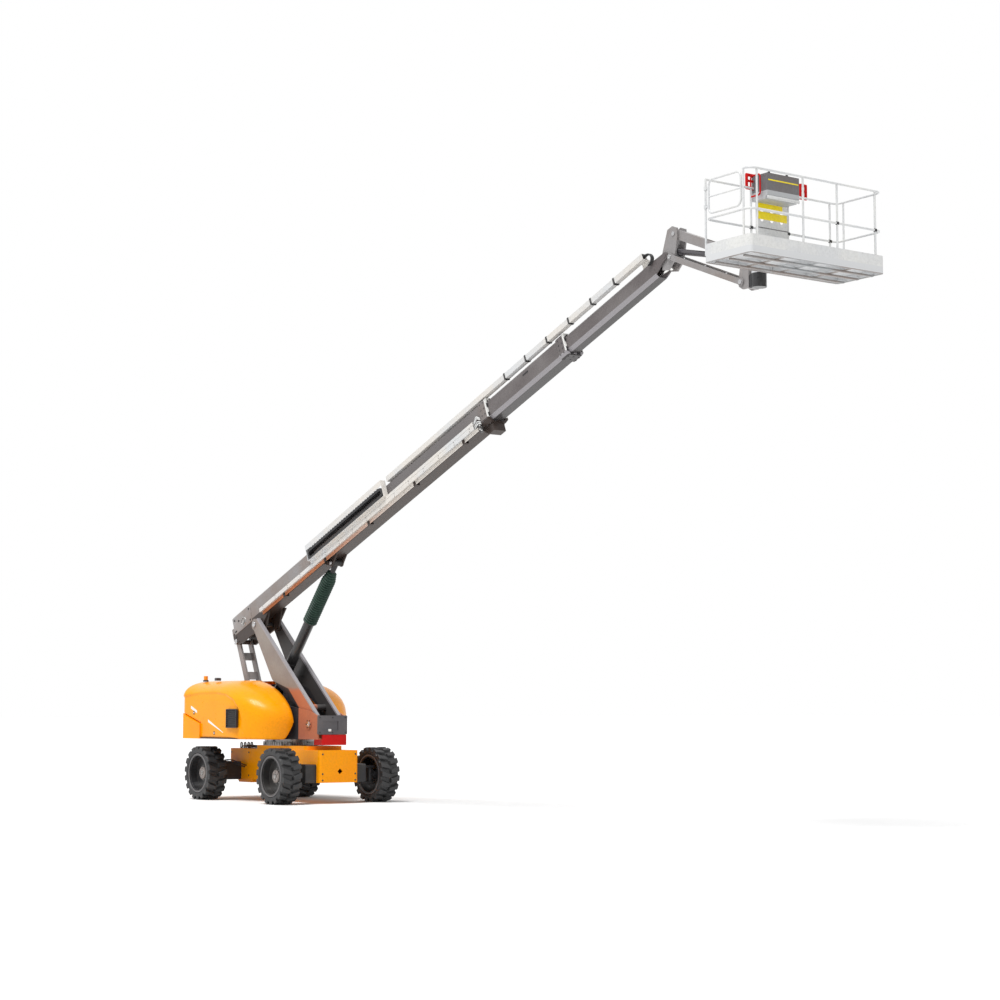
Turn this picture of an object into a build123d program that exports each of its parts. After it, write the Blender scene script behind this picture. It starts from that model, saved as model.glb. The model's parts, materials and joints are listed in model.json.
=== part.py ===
from build123d import *
import os
from math import cos, radians, sin

# Fits and clearances
PIN_FIT = 0.05
SEAT_GAP = 0.3
RUN_GAP = 6.0

# Wheels
WHEEL_BASE = 2800.0
OVERALL_WIDTH = 2490.0
TYRE_R = 510.0
TYRE_W = 385.0
BEAD_R = 345.0
FLANGE_R = 372.0
HUB_R = 118.0
SPINDLE_R = 70.0
DISC_V = 10.0
DISC_T = 16.0
HUB_FACE_V = 82.0
AXLE_Z = TYRE_R
AXLE_X = WHEEL_BASE / 2
WHEEL_Y = OVERALL_WIDTH / 2 - TYRE_W / 2
TREAD_R = 478.0
SHOULDER_R, SHOULDER_V = 455.0, 165.0
SIDEWALL_R = 382.0
BEAD_V = 166.0
LUGS = 16
LUG_V = 14.0
LUG_INNER_W, LUG_OUTER_W = 52.0, 98.0

# Chassis and axles
CHASSIS_REAR, CHASSIS_FRONT = -1610.0, 1770.0
CHASSIS_HALF_W = 420.0
CHASSIS_Z0, CHASSIS_Z1 = 385.0, 975.0
CHASSIS_WALL = 20.0
CHASSIS_CORNER_R = 60.0
PEDESTAL_REAR, PEDESTAL_FRONT = -620.0, 1250.0
PEDESTAL_TOP = 1045.0
KINGPIN_OFFSET = 152.5
KINGPIN_Y = WHEEL_Y - KINGPIN_OFFSET
KINGPIN_R = 35.0
KNUCKLE_R = 62.0
FORK_T = 40.0
FORK_HALF_GAP = 128.0
FORK_HALF_W = 100.0
AXLE_BOX_HALF_L = 260.0
AXLE_BOX_Z0, AXLE_BOX_Z1 = 380.0, 720.0
FRONT_BOX_BACK, REAR_BOX_BACK = 250.0, 252.5
FRONT_BOX_Y, REAR_BOX_Y = KINGPIN_Y - FRONT_BOX_BACK, WHEEL_Y - REAR_BOX_BACK
LASHING_HOLE_R = 30.0
LASHING_T = 25.0
LASHING_Y, LASHING_Z = 302.5, 510.0
LASHING_REACH, LASHING_HALF_W = 100.0, 62.0

# Slew ring and turntable
RING_R, RING_BORE_R = 515.0, 400.0
RING_TOP = 1165.0
RING_TEETH, TOOTH_DEPTH, TOOTH_TOP = 60, 22.0, 1120.0
DECK_Z0, DECK_Z1 = 1170.0, 1190.0
DECK_REAR, DECK_NOSE = -1410.0, 1500.0
DECK_HALF_W = 300.0
TRAY_FRONT = 430.0
DRIVE_FRONT_TOP = 1256.0
SIDE_PLATE_IN, SIDE_PLATE_OUT = 275.0, 300.0
SIDE_PLATE_TOP = 2150.0
LINK_CHEEK_IN, LINK_CHEEK_OUT = 160.0, 190.0
WELL_REAR, WELL_FRONT, WELL_HALF_W = -1280.0, -600.0, LINK_CHEEK_IN - 4.0

# Hoods and counterweight
HOOD_REAR, HOOD_NOSE = -2200.0, 800.0
HOOD_INNER, HOOD_OUTER = 360.0, 1200.0
HOOD_Z0, HOOD_Z1 = 1165.0, 2280.0
HOOD_WALL = 8.0
HOOD_EDGE, HOOD_EDGE_BULGE = 220.0, 38.0
HOOD_HINGE_Y, HOOD_HINGE_Z = 345.0, 2200.0
HOOD_PIN_R = 12.0
HOOD_HINGE_X = (-1150.0, -550.0)
CREASE = ((HOOD_REAR, 1660.0), (DECK_REAR, 1445.0), (DECK_REAR, HOOD_Z0))
CREASE_GAP = 6.0
VENT_X0, VENT_X1, VENT_Z0, VENT_Z1 = -360.0, 35.0, 1377.0, 1732.0
VENT_SLATS = 9

# Lifting linkage, in the plane y = 0
RISER_PIN_X, RISER_PIN_Z = 1180.0, 1450.0
BOOM_PIN_X, BOOM_PIN_Z = -970.0, 3370.0
BOOM_ANGLE = 21.4
RISER_IN, RISER_OUT = 197.0, 263.0
RISER_HEAD_R, RISER_FOOT_R = 110.0, 130.0
RISER_HEAD_RISE, RISER_FOOT_RISE = 160.0, 270.0
RISER_ELBOW_AT, RISER_ELBOW_DROP = 0.57, 330.0
RISER_NECK_AT, RISER_NECK_DROP = 0.16, 60.0
RISER_WALL = 10.0
MAIN_PIN_R = 45.0
LINK_FOOT_X, LINK_FOOT_Z = -1060.0, 1410.0
LINK_PIN_E, LINK_PIN_N = -908.0, 14.0
LINK_IN, LINK_OUT = 110.0, 150.0
LINK_DEPTH = 130.0
LIFT_EYE_E, LIFT_EYE_N = 2806.0, 48.0
LIFT_EYE_R = 60.0
LIFT_PIN_R = 32.0
BARREL_R = 100.0
BARREL_LEN = 2800.0
BARREL_BORE_R = 84.0
GLAND_LEN = 120.0
ROD_R = 50.0
ROD_LEN = 2950.0
GUARD_R, GUARD_LIP_R = 135.0, 103.0
GUARD_LEN = 1200.0
GUARD_WALL = 7.0
GUARD_TAPER = 150.0
GUARD_END_R = 112.0
GUARD_FROM_EYE = 220.0

# Boom sections, along e and n from the boom pin
BOOM_AXIS_N = 329.0
BASE_W, BASE_H, BASE_WALL = 380.0, 410.0, 8.0
MID_W, MID_H, MID_WALL = 320.0, 355.0, 7.0
TIP_W, TIP_H, TIP_WALL = 265.0, 300.0, 6.0
BASE_REAR, BASE_FRONT = -900.0, 8362.0
MID_FRONT, MID_LEN = 10620.0, 8400.0
TIP_FRONT, TIP_LEN = 12970.0, 8300.0
COLLAR_LEN, COLLAR_RISE = 200.0, 18.0
CHAMFER_LOW, CHAMFER_TOP = 60.0, 40.0
FOOT_IN, FOOT_OUT = 160.0, 190.0
CHAIN_REAR, CHAIN_FRONT = 2450.0, 5000.0
CHAIN_BEND_LINKS, CHAIN_RIBS, CHAIN_RIB_H = 6, 30, 10.0
CHAIN_R, CHAIN_BORE_R = 100.0, 50.0
TRAY_REAR, TRAY_END = 250.0, 7970.0
TRAY_LOW_N, TRAY_LOW_H, TRAY_TOP_H = 150.0, 76.0, 56.0
TRAY_SEAM, TRAY_OUT, TRAY_WALL = 4.0, 60.0, 3.0
TROUGH_REAR, TROUGH_FRONT, TROUGH_T = 2330.0, 5120.0, 4.0
TROUGH_OUT, TROUGH_RAIL_H = 116.0, 100.0
PIPE_R, PIPE_PITCH, PIPE_DROP = 9.0, 24.0, 13.0
CLAMPS, CLAMP_REAR, CLAMP_PITCH = 5, 1150.0, 1600.0
HOSE_REAR, HOSE_END_BACK = 5150.0, 120.0
HEAD_LEN = 420.0

# Jib: the knuckle pin on the boom, and pins relative to it in the plane y = 0
KNUCKLE_E, KNUCKLE_N = 13244.0, 384.0
JIB_PIN_R = 28.0
LOW_PIN = (120.0, -30.0)
TOP_PIN = (180.0, 320.0)
LEVEL_PIN = (-20.0, -160.0)
JIB_FOOT = (160.0, 60.0)
JIB_LEN = 1690.0
JIB_ANGLE = -22.2
KNUCKLE_IN, KNUCKLE_OUT = 70.0, 100.0
LOW_ARM_IN, LOW_ARM_OUT = 105.0, 130.0
LOW_ARM_DEPTH = 90.0
TOP_ARM_HALF_W, TOP_ARM_DEPTH, TOP_ARM_WALL = 65.0, 140.0, 10.0
TOP_ARM_ROOF = 680.0
JIB_BARREL_R, JIB_ROD_R = 45.0, 28.0
JIB_BARREL_LEN = 1120.0
JIB_ROD_LEN = 1000.0
LEVEL_FOOT_E, LEVEL_FOOT_N = 12250.0, 300.0
LEVEL_BARREL_R, LEVEL_ROD_R = 40.0, 25.0
LEVEL_BARREL_LEN = 620.0
LEVEL_ROD_LEN = 520.0

# Platform, measured from the low pin of its post
ROTATOR_X, ROTATOR_R = 265.0, 110.0
ROTATOR_Z0, ROTATOR_Z1 = -111.0, 94.0
ARM_T, ARM_HALF_W, ARM_FLANGE_T = 36.0, 100.0, 20.0
PLAT_REAR, PLAT_FRONT = 545.0, 1495.0
PLAT_HALF_W = 1300.0
FLOOR_Z0, FLOOR_Z1 = 39.0, 139.0
RAIL_R = 17.0
POST_R = 15.0
RAIL_INSET = 20.0
RAIL_BEND = 110.0
TOP_RAIL_Z = 1229.0
MID_RAIL_Z = 659.0
TOE_H, TOE_T = 160.0, 4.0
GATE_X0, GATE_X1 = 630.0, 1295.0
GATE_POST_X = 1345.0
GATE_TUBE_R = 15.0
CONSOLE_X0, CONSOLE_X1 = 535.0, 855.0
CONSOLE_Y0, CONSOLE_Y1 = -370.0, 250.0
CONSOLE_Z0, CONSOLE_Z1 = 1039.0, 1409.0
GRAB_REACH, GRAB_Z0, GRAB_Z1 = 195.0, 1100.0, 1400.0
GRAB_BEND, GRAB_R = 40.0, 12.0
REAR_POSTS = (1140.0, 300.0, -420.0)
FRONT_POSTS = (1140.0, 380.0, -280.0, -1150.0)

os.makedirs("parts", exist_ok=True)


def box(x0, x1, y0, y1, z0, z1):
    return Pos((x0 + x1) / 2, (y0 + y1) / 2, (z0 + z1) / 2) * Box(x1 - x0, y1 - y0, z1 - z0)


def cyl_x(y, z, r, x0, x1):
    return Pos((x0 + x1) / 2, y, z) * Rot(0, 90, 0) * Cylinder(r, x1 - x0)


def cyl_y(x, z, r, y0, y1):
    return Pos(x, (y0 + y1) / 2, z) * Rot(90, 0, 0) * Cylinder(r, y1 - y0)


def cyl_z(x, y, r, z0, z1):
    return Pos(x, y, (z0 + z1) / 2) * Cylinder(r, z1 - z0)


def plate(points, y0, y1):
    outline = Polyline(*[(x, y0, z) for x, z in points], close=True)
    return extrude(make_face(outline), amount=y1 - y0, dir=(0, 1, 0))


def pair(shape):
    return shape + mirror(shape, about=Plane.XZ)


def fuse(shapes):
    total = shapes[0]
    for shape in shapes[1:]:
        total = total + shape
    return total


def turned(profile):
    outline = Polyline(*[(r, v, 0) for r, v in profile], close=True)
    return revolve(make_face(outline), axis=Axis.Y)


def tube_path(points, bend, radius):
    path = FilletPolyline(*points, radius=bend)
    ring = Plane(origin=path @ 0, z_dir=path % 0) * Circle(radius)
    return sweep(ring, path=path)


def bar_between(p, q, depth, y0, y1):
    length = ((q[0] - p[0]) ** 2 + (q[1] - p[1]) ** 2) ** 0.5
    middle = box(0, length, y0, y1, -depth / 2, depth / 2)
    ends = cyl_y(0, 0, depth / 2, y0, y1) + cyl_y(length, 0, depth / 2, y0, y1)
    return frame_between(p, q) * (middle + ends)


def frame_between(p, q):
    direction = Vector(q[0] - p[0], 0, q[1] - p[1])
    return Plane(origin=(p[0], 0, p[1]), x_dir=direction, z_dir=direction.cross(Vector(0, 1, 0))).location


def octagon(width, height, low, top):
    w, h = width / 2, height / 2
    return [(-w + low, -h), (w - low, -h), (w, -h + low), (w, h - top),
            (w - top, h), (-w + top, h), (-w, h - top), (-w, -h + low)]


def octagon_bar(e0, e1, width, height, low, top):
    points = [(e0, y, BOOM_AXIS_N + n) for y, n in octagon(width, height, low, top)]
    return extrude(make_face(Polyline(*points, close=True)), amount=e1 - e0, dir=(1, 0, 0))


def octagon_tube(e0, e1, width, height, inner_w, inner_h):
    cut = (width - inner_w) / 2 * 0.586
    outer = octagon_bar(e0, e1, width, height, CHAMFER_LOW, CHAMFER_TOP)
    inner = octagon_bar(e0 - 1, e1 + 1, inner_w, inner_h, CHAMFER_LOW - cut, CHAMFER_TOP - cut)
    return outer - inner


def save(name, shape):
    shape.label = name
    export_step(shape, "parts/" + name + ".step")


BOOM = Location((BOOM_PIN_X, 0, BOOM_PIN_Z), (0, -BOOM_ANGLE, 0))


def boom_point(e, n):
    c, s = cos(radians(BOOM_ANGLE)), sin(radians(BOOM_ANGLE))
    return (BOOM_PIN_X + e * c - n * s, BOOM_PIN_Z + e * s + n * c)


def knuckle_point(offset):
    x, z = boom_point(KNUCKLE_E, KNUCKLE_N)
    return (x + offset[0], z + offset[1])


def jib_end(start):
    return (start[0] + JIB_LEN * cos(radians(JIB_ANGLE)), start[1] + JIB_LEN * sin(radians(JIB_ANGLE)))


# Tyre of flat facets, one for each lug of either side, with v measured outward from the middle plane
half = TYRE_W / 2
FACETS = 2 * LUGS


def facet_outline(radius, v):
    corner_r = radius / cos(radians(180 / FACETS))
    angles = [radians(360 * (i + 0.5) / FACETS) for i in range(FACETS)]
    return make_face(Polyline(*[(corner_r * sin(a), v, corner_r * cos(a)) for a in angles], close=True))


def facet_ring(radius, v0, v1):
    return extrude(facet_outline(radius, v0), amount=v1 - v0, dir=(0, 1, 0))


tyre = facet_ring(TREAD_R, -SHOULDER_V, SHOULDER_V)
for v0, v1 in ((SHOULDER_V, half), (-SHOULDER_V, -half)):
    tyre = tyre + loft([facet_outline(TREAD_R, v0), facet_outline(SHOULDER_R, v1)], ruled=True)
lug_outline = Polyline((-LUG_INNER_W / 2, LUG_V, TREAD_R - 40), (LUG_INNER_W / 2, LUG_V, TREAD_R - 40),
                       (LUG_OUTER_W / 2, half, TREAD_R - 40), (-LUG_OUTER_W / 2, half, TREAD_R - 40), close=True)
lug = extrude(make_face(lug_outline), amount=TYRE_R - TREAD_R + 40, dir=(0, 0, 1))
lug_back = Rot(0, 0, 180) * lug
for i in range(LUGS):
    tyre = tyre + Rot(0, 180 + 360 * i / LUGS, 0) * lug
    tyre = tyre + Rot(0, 180 + 360 * (i + 0.5) / LUGS, 0) * lug_back
tyre = tyre - facet_ring(BEAD_R, -half - 1, half + 1)
for v0, v1 in ((BEAD_V, half + 1), (-half - 1, -BEAD_V)):
    tyre = tyre - facet_ring(SIDEWALL_R, v0, v1)

# Rim turned about its axle
flange_v = BEAD_V + SEAT_GAP
disc_out = DISC_V + DISC_T
RIM_PROFILE = [(FLANGE_R, -180), (FLANGE_R, -flange_v), (BEAD_R - SEAT_GAP, -flange_v),
               (BEAD_R - SEAT_GAP, flange_v), (FLANGE_R, flange_v), (FLANGE_R, 180), (332, 180),
               (332, disc_out), (150, disc_out), (150, disc_out + 20), (HUB_R, disc_out + 20),
               (HUB_R, HUB_FACE_V - 10), (HUB_R - 12, HUB_FACE_V), (0, HUB_FACE_V), (0, 60),
               (SPINDLE_R + PIN_FIT, 60), (SPINDLE_R + PIN_FIT, DISC_V), (328, DISC_V), (328, -180)]
rim = turned(RIM_PROFILE)
for name, x, side in (("front_left", AXLE_X, 1), ("front_right", AXLE_X, -1),
                      ("rear_left", -AXLE_X, 1), ("rear_right", -AXLE_X, -1)):
    face_out = Rot(0, 0, 0) if side > 0 else Rot(0, 0, 180)
    place = Pos(x, side * WHEEL_Y, AXLE_Z) * face_out
    save("tyre_" + name, place * tyre)
    save("rim_" + name, place * rim)

# Steering knuckles on the front kingpins
spindle_end = WHEEL_Y + 58
knuckle = fuse([
    cyl_z(AXLE_X, KINGPIN_Y, KNUCKLE_R, AXLE_Z - FORK_HALF_GAP + 3, AXLE_Z + FORK_HALF_GAP - 3),
    cyl_z(AXLE_X, KINGPIN_Y, KINGPIN_R, AXLE_Z - FORK_HALF_GAP - FORK_T, AXLE_Z + FORK_HALF_GAP + FORK_T),
    cyl_y(AXLE_X, AXLE_Z, SPINDLE_R, KINGPIN_Y, spindle_end),
    cyl_y(AXLE_X, AXLE_Z, 120, WHEEL_Y - 40, WHEEL_Y + DISC_V - RUN_GAP),
    cyl_y(AXLE_X, AXLE_Z, 95, KINGPIN_Y + 40, WHEEL_Y - 30)])
save("steer_knuckle_left", knuckle)
save("steer_knuckle_right", mirror(knuckle, about=Plane.XZ))

# Axle boxes, forks and rear hub carriers
front_box = box(AXLE_X - AXLE_BOX_HALF_L, AXLE_X + AXLE_BOX_HALF_L, CHASSIS_HALF_W, FRONT_BOX_Y,
                AXLE_BOX_Z0, AXLE_BOX_Z1)
front_box = fillet(front_box.edges().filter_by(Axis.Y), 40)
fork = front_box
for z0 in (AXLE_Z - FORK_HALF_GAP - FORK_T, AXLE_Z + FORK_HALF_GAP):
    arm = box(AXLE_X - FORK_HALF_W, AXLE_X + FORK_HALF_W, FRONT_BOX_Y - 10, KINGPIN_Y, z0, z0 + FORK_T)
    arm = arm + cyl_z(AXLE_X, KINGPIN_Y, FORK_HALF_W, z0, z0 + FORK_T)
    fork = fork + (arm - cyl_z(AXLE_X, KINGPIN_Y, KINGPIN_R + PIN_FIT, z0 - 1, z0 + FORK_T + 1))
web = box(AXLE_X - FORK_HALF_W, AXLE_X + FORK_HALF_W, FRONT_BOX_Y - 10, FRONT_BOX_Y + 90,
          AXLE_Z - FORK_HALF_GAP - 1, AXLE_Z + FORK_HALF_GAP + 1)
fork = fork + web
rear_box = box(-AXLE_X - AXLE_BOX_HALF_L, -AXLE_X + AXLE_BOX_HALF_L, CHASSIS_HALF_W, REAR_BOX_Y,
               AXLE_BOX_Z0, AXLE_BOX_Z1)
rear_box = fillet(rear_box.edges().filter_by(Axis.Y), 40)
carrier = fuse([rear_box,
                cyl_y(-AXLE_X, AXLE_Z, 150, REAR_BOX_Y - 10, WHEEL_Y - 40),
                cyl_y(-AXLE_X, AXLE_Z, 120, WHEEL_Y - 45, WHEEL_Y + DISC_V - RUN_GAP),
                cyl_y(-AXLE_X, AXLE_Z, SPINDLE_R, WHEEL_Y - 45, spindle_end)])
save("axle_beams", Compound(children=[fork, mirror(fork, about=Plane.XZ), carrier,
                                      mirror(carrier, about=Plane.XZ)]))

# Chassis box with pedestal, front diamond opening and level lashing lugs at the rear
outer = box(CHASSIS_REAR, CHASSIS_FRONT, -CHASSIS_HALF_W, CHASSIS_HALF_W, CHASSIS_Z0, CHASSIS_Z1)
outer = fillet(outer.edges().filter_by(Axis.Z), CHASSIS_CORNER_R)
w = CHASSIS_WALL
inner = box(CHASSIS_REAR + w, CHASSIS_FRONT - w, -CHASSIS_HALF_W + w, CHASSIS_HALF_W - w,
            CHASSIS_Z0 + w, CHASSIS_Z1 - w)
inner = fillet(inner.edges().filter_by(Axis.Z), CHASSIS_CORNER_R - w)
chassis = outer - inner
pedestal = box(PEDESTAL_REAR, PEDESTAL_FRONT, -CHASSIS_HALF_W + 10, CHASSIS_HALF_W - 10,
               CHASSIS_Z1 - 5, PEDESTAL_TOP)
pedestal = fillet(pedestal.edges().filter_by(Axis.Z), 90)
chassis = chassis + pedestal - cyl_z(0, 0, RING_BORE_R - 20, CHASSIS_Z1 - 80, PEDESTAL_TOP + 1)
diamond = Pos(CHASSIS_FRONT, 20, 590) * Rot(45, 0, 0) * Box(80, 78, 78)
chassis = chassis - diamond
lashing = box(CHASSIS_REAR - LASHING_REACH, CHASSIS_REAR + 5, LASHING_Y - LASHING_HALF_W, LASHING_Y + LASHING_HALF_W,
              LASHING_Z - LASHING_T / 2, LASHING_Z + LASHING_T / 2)
lashing = chamfer(lashing.edges().filter_by(Axis.Z).group_by(Axis.X)[0], LASHING_HALF_W / 2)
lashing = lashing - cyl_z(CHASSIS_REAR - LASHING_REACH / 2, LASHING_Y, LASHING_HOLE_R,
                          LASHING_Z - LASHING_T, LASHING_Z + LASHING_T)
chassis = chassis + pair(lashing)
belly = box(CHASSIS_REAR + 180, -850, -330, 330, CHASSIS_Z0 - 60, CHASSIS_Z0 + 5)
belly = chamfer(belly.edges().filter_by(Axis.Y).group_by(Axis.Z)[0], 50)
save("chassis_frame", chassis + belly)

# Fixed slew ring with its outer teeth
tooth_points = []
for i in range(RING_TEETH):
    for share, r in ((0.0, RING_R - TOOTH_DEPTH), (0.3, RING_R - TOOTH_DEPTH), (0.5, RING_R), (0.8, RING_R)):
        angle = radians(360 * (i + share) / RING_TEETH)
        tooth_points.append((r * cos(angle), r * sin(angle), PEDESTAL_TOP))
ring = extrude(make_face(Polyline(*tooth_points, close=True)), amount=TOOTH_TOP - PEDESTAL_TOP, dir=(0, 0, 1))
ring = ring + cyl_z(0, 0, RING_R - TOOTH_DEPTH - 5, TOOTH_TOP - 1, RING_TOP)
ring = ring - cyl_z(0, 0, RING_BORE_R, PEDESTAL_TOP - 1, RING_TOP + 1)
save("slew_ring", ring)

# Valve block with its hoses on the rear end of the chassis
valve = box(CHASSIS_REAR - 150, CHASSIS_REAR, -170, 150, 700, 930)
for y in (-120, -40, 40, 110):
    valve = valve + cyl_x(y, 850, 22, CHASSIS_REAR - 190, CHASSIS_REAR - 150)
for y in (-120, -40, 40, 110):
    route = [(CHASSIS_REAR - 100, y, 925), (CHASSIS_REAR - 100, y, 1080), (CHASSIS_REAR - 40, y, 1080),
             (CHASSIS_REAR - 40, y, 925)]
    valve = valve + tube_path(route, 28, 12)
save("rear_valve_block", valve)


# Hood outlines: side, plan and front, each set in by a wall
def hood_side(inset, follow_crease):
    rear, top = HOOD_REAR + inset, HOOD_Z1 - inset
    start = (rear, 0, top - 280)
    corner = TangentArc(start, (rear + 280, 0, top), tangent=(0, 0, 1))
    flat = Line(corner @ 1, (-350, 0, top))
    brow = TangentArc(flat @ 1, (HOOD_NOSE - inset, 0, 1500), tangent=(1, 0, 0))
    chin = TangentArc(brow @ 1, (620 - inset, 0, HOOD_Z0), tangent=brow % 1)
    if follow_crease:
        low = [tuple(chin @ 1)] + [(x + (CREASE_GAP if i else 0), 0, z + (0 if i == 2 else CREASE_GAP))
                                   for i, (x, z) in reversed(list(enumerate(CREASE)))] + [start]
    else:
        low = [tuple(chin @ 1), (620 - inset, 0, HOOD_Z0 - 100), (rear, 0, HOOD_Z0 - 100), start]
    base = Polyline(*low)
    return make_face([corner, flat, brow, chin] + base.edges())


def hood_plan(inset, inner):
    rear, out = HOOD_REAR + inset, HOOD_OUTER - inset
    first = Line((rear, inner, 0), (rear, out - 150, 0))
    corner = TangentArc(first @ 1, (rear + 150, out, 0), tangent=(0, 1, 0))
    flat = Line(corner @ 1, (-400, out, 0))
    cheek = TangentArc(flat @ 1, (700 - inset, 660, 0), tangent=(1, 0, 0))
    chin = TangentArc(cheek @ 1, (570 - inset, HOOD_INNER, 0), tangent=cheek % 1)
    tail = [tuple(chin @ 1), (570 - inset, inner, 0), (rear, inner, 0)]
    if inner == HOOD_INNER:
        tail = [tuple(chin @ 1), (rear, inner, 0)]
    return make_face([first, corner, flat, cheek, chin] + Polyline(*tail).edges())


def hood_front(inset, inner):
    out, top = HOOD_OUTER - inset, HOOD_Z1 - inset
    side = Line((0, out, HOOD_Z0 - 150), (0, out, top - HOOD_EDGE))
    bulge = HOOD_EDGE / 2 + HOOD_EDGE_BULGE
    middle = (0, out - HOOD_EDGE + bulge, top - HOOD_EDGE + bulge)
    corner = ThreePointArc(side @ 1, middle, (0, out - HOOD_EDGE, top))
    rest = Polyline(tuple(corner @ 1), (0, inner, top), (0, inner, HOOD_Z0 - 150), (0, out, HOOD_Z0 - 150))
    return make_face([side, corner] + rest.edges())


def hood_body(inset, inner, follow_crease):
    side = Pos(0, inner - 5, 0) * extrude(hood_side(inset, follow_crease), amount=1000, dir=(0, 1, 0))
    plan = Pos(0, 0, HOOD_Z0 - 200) * extrude(hood_plan(inset, inner), amount=1400, dir=(0, 0, 1))
    front = Pos(HOOD_REAR - 50, 0, 0) * extrude(hood_front(inset, inner), amount=3300, dir=(1, 0, 0))
    return side & plan & front


hood = hood_body(0, HOOD_INNER, True) - hood_body(HOOD_WALL, HOOD_INNER - 60, False)
for x in HOOD_HINGE_X:
    eye = box(x - 22, x + 22, HOOD_HINGE_Y - 28, HOOD_INNER + 30, HOOD_HINGE_Z - 22, HOOD_Z1 - 3)
    eye = eye - cyl_x(HOOD_HINGE_Y, HOOD_HINGE_Z, HOOD_PIN_R + PIN_FIT, x - 30, x + 30)
    hood = hood + eye
save("hood_left", hood)
hood_near = mirror(hood, about=Plane.XZ)
opening = box(VENT_X0, VENT_X1, -HOOD_OUTER - 20, -HOOD_OUTER + 60, VENT_Z0, VENT_Z1)
save("hood_right", hood_near - opening)

# Louvred vent in the near hood
g = SEAT_GAP
frame_out = box(VENT_X0 + g, VENT_X1 - g, -HOOD_OUTER - 6, -HOOD_OUTER + 14, VENT_Z0 + g, VENT_Z1 - g)
frame_in = box(VENT_X0 + 18, VENT_X1 - 18, -HOOD_OUTER - 10, -HOOD_OUTER + 20, VENT_Z0 + 18, VENT_Z1 - 18)
vent = frame_out - frame_in
pitch = (VENT_Z1 - VENT_Z0 - 36) / VENT_SLATS
for i in range(VENT_SLATS):
    slat = Rot(35, 0, 0) * Box(VENT_X1 - VENT_X0 - 30, 26, 4)
    vent = vent + Pos((VENT_X0 + VENT_X1) / 2, -HOOD_OUTER + 4, VENT_Z0 + 18 + pitch * (i + 0.5)) * slat
save("hood_vent", vent)

# Beacon and work lamp on top of the near hood
beacon = cyl_z(-2000, -800, 48, HOOD_Z1 - 12 + g, HOOD_Z1 + 10) + cyl_z(-2000, -800, 40, HOOD_Z1 + 9, HOOD_Z1 + 95)
lamp = box(-1470, -1390, -850, -750, HOOD_Z1, HOOD_Z1 + 55)
lamp = fillet(lamp.edges().group_by(Axis.Z)[-1], 15)
beacon = Pos(80, 0, 0) * (beacon - box(-2100, -1900, -900, -700, HOOD_Z1 - 40, HOOD_Z1))
save("beacon_lamps", Compound(children=[beacon, lamp]))

# Turntable deck, side plates, pins and hood hinge lugs
deck = box(DECK_REAR, DECK_NOSE, -DECK_HALF_W, DECK_HALF_W, DECK_Z0, DECK_Z1)
tray_plan = extrude(hood_plan(HOOD_WALL + 14, HOOD_INNER - 70), amount=DECK_Z1 - DECK_Z0, dir=(0, 0, 1))
tray = box(DECK_REAR, TRAY_FRONT, HOOD_INNER - 70, HOOD_OUTER, DECK_Z0, DECK_Z1) & (Pos(0, 0, DECK_Z0) * tray_plan)
deck = deck + pair(tray)
deck = deck + cyl_z(0, 0, RING_R - 10, RING_TOP + SEAT_GAP, DECK_Z0 + 2)
deck = deck - cyl_z(0, 0, RING_BORE_R + 20, RING_TOP - 1, DECK_Z0)
deck = deck - box(WELL_REAR, WELL_FRONT, -WELL_HALF_W, WELL_HALF_W, DECK_Z0 - 20, DECK_Z1 + 1)
SIDE_OUTLINE = [(DECK_REAR, DECK_Z1 - 5), (DECK_REAR, SIDE_PLATE_TOP), (-450, SIDE_PLATE_TOP), (350, 1800),
                (1200, 1700), (DECK_NOSE, 1600), (DECK_NOSE, DECK_Z1 - 5)]
side = plate(SIDE_OUTLINE, SIDE_PLATE_IN, SIDE_PLATE_OUT)
for x in HOOD_HINGE_X:
    for x0 in (x - 58, x + 30):
        side = side + box(x0, x0 + 28, SIDE_PLATE_IN, HOOD_HINGE_Y + 20, HOOD_HINGE_Z - 100, HOOD_HINGE_Z + 20)
    side = side + cyl_x(HOOD_HINGE_Y, HOOD_HINGE_Z, HOOD_PIN_R, x - 58, x + 58)
side = side + cyl_y(RISER_PIN_X, RISER_PIN_Z, 95, SIDE_PLATE_IN, SIDE_PLATE_OUT + 14)
deck = deck + pair(side)
deck = deck + cyl_y(RISER_PIN_X, RISER_PIN_Z, MAIN_PIN_R, -SIDE_PLATE_OUT - 10, SIDE_PLATE_OUT + 10)
cheek = plate([(LINK_FOOT_X - 110, DECK_Z1 - 5), (LINK_FOOT_X - 80, LINK_FOOT_Z + 60),
               (LINK_FOOT_X + 40, LINK_FOOT_Z + 60), (LINK_FOOT_X + 80, DECK_Z1 - 5)],
              LINK_CHEEK_IN, LINK_CHEEK_OUT)
cheek = cheek + cyl_y(LINK_FOOT_X, LINK_FOOT_Z, 40, LINK_CHEEK_OUT - 2, LINK_CHEEK_OUT + 12)
deck = deck + pair(cheek)
for x in (DECK_REAR + 20, 850):
    deck = deck + box(x, x + 20, -SIDE_PLATE_IN - 2, SIDE_PLATE_IN + 2, DECK_Z1 - 2, DECK_Z1 + 200)
save("turntable_frame", deck)

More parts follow.
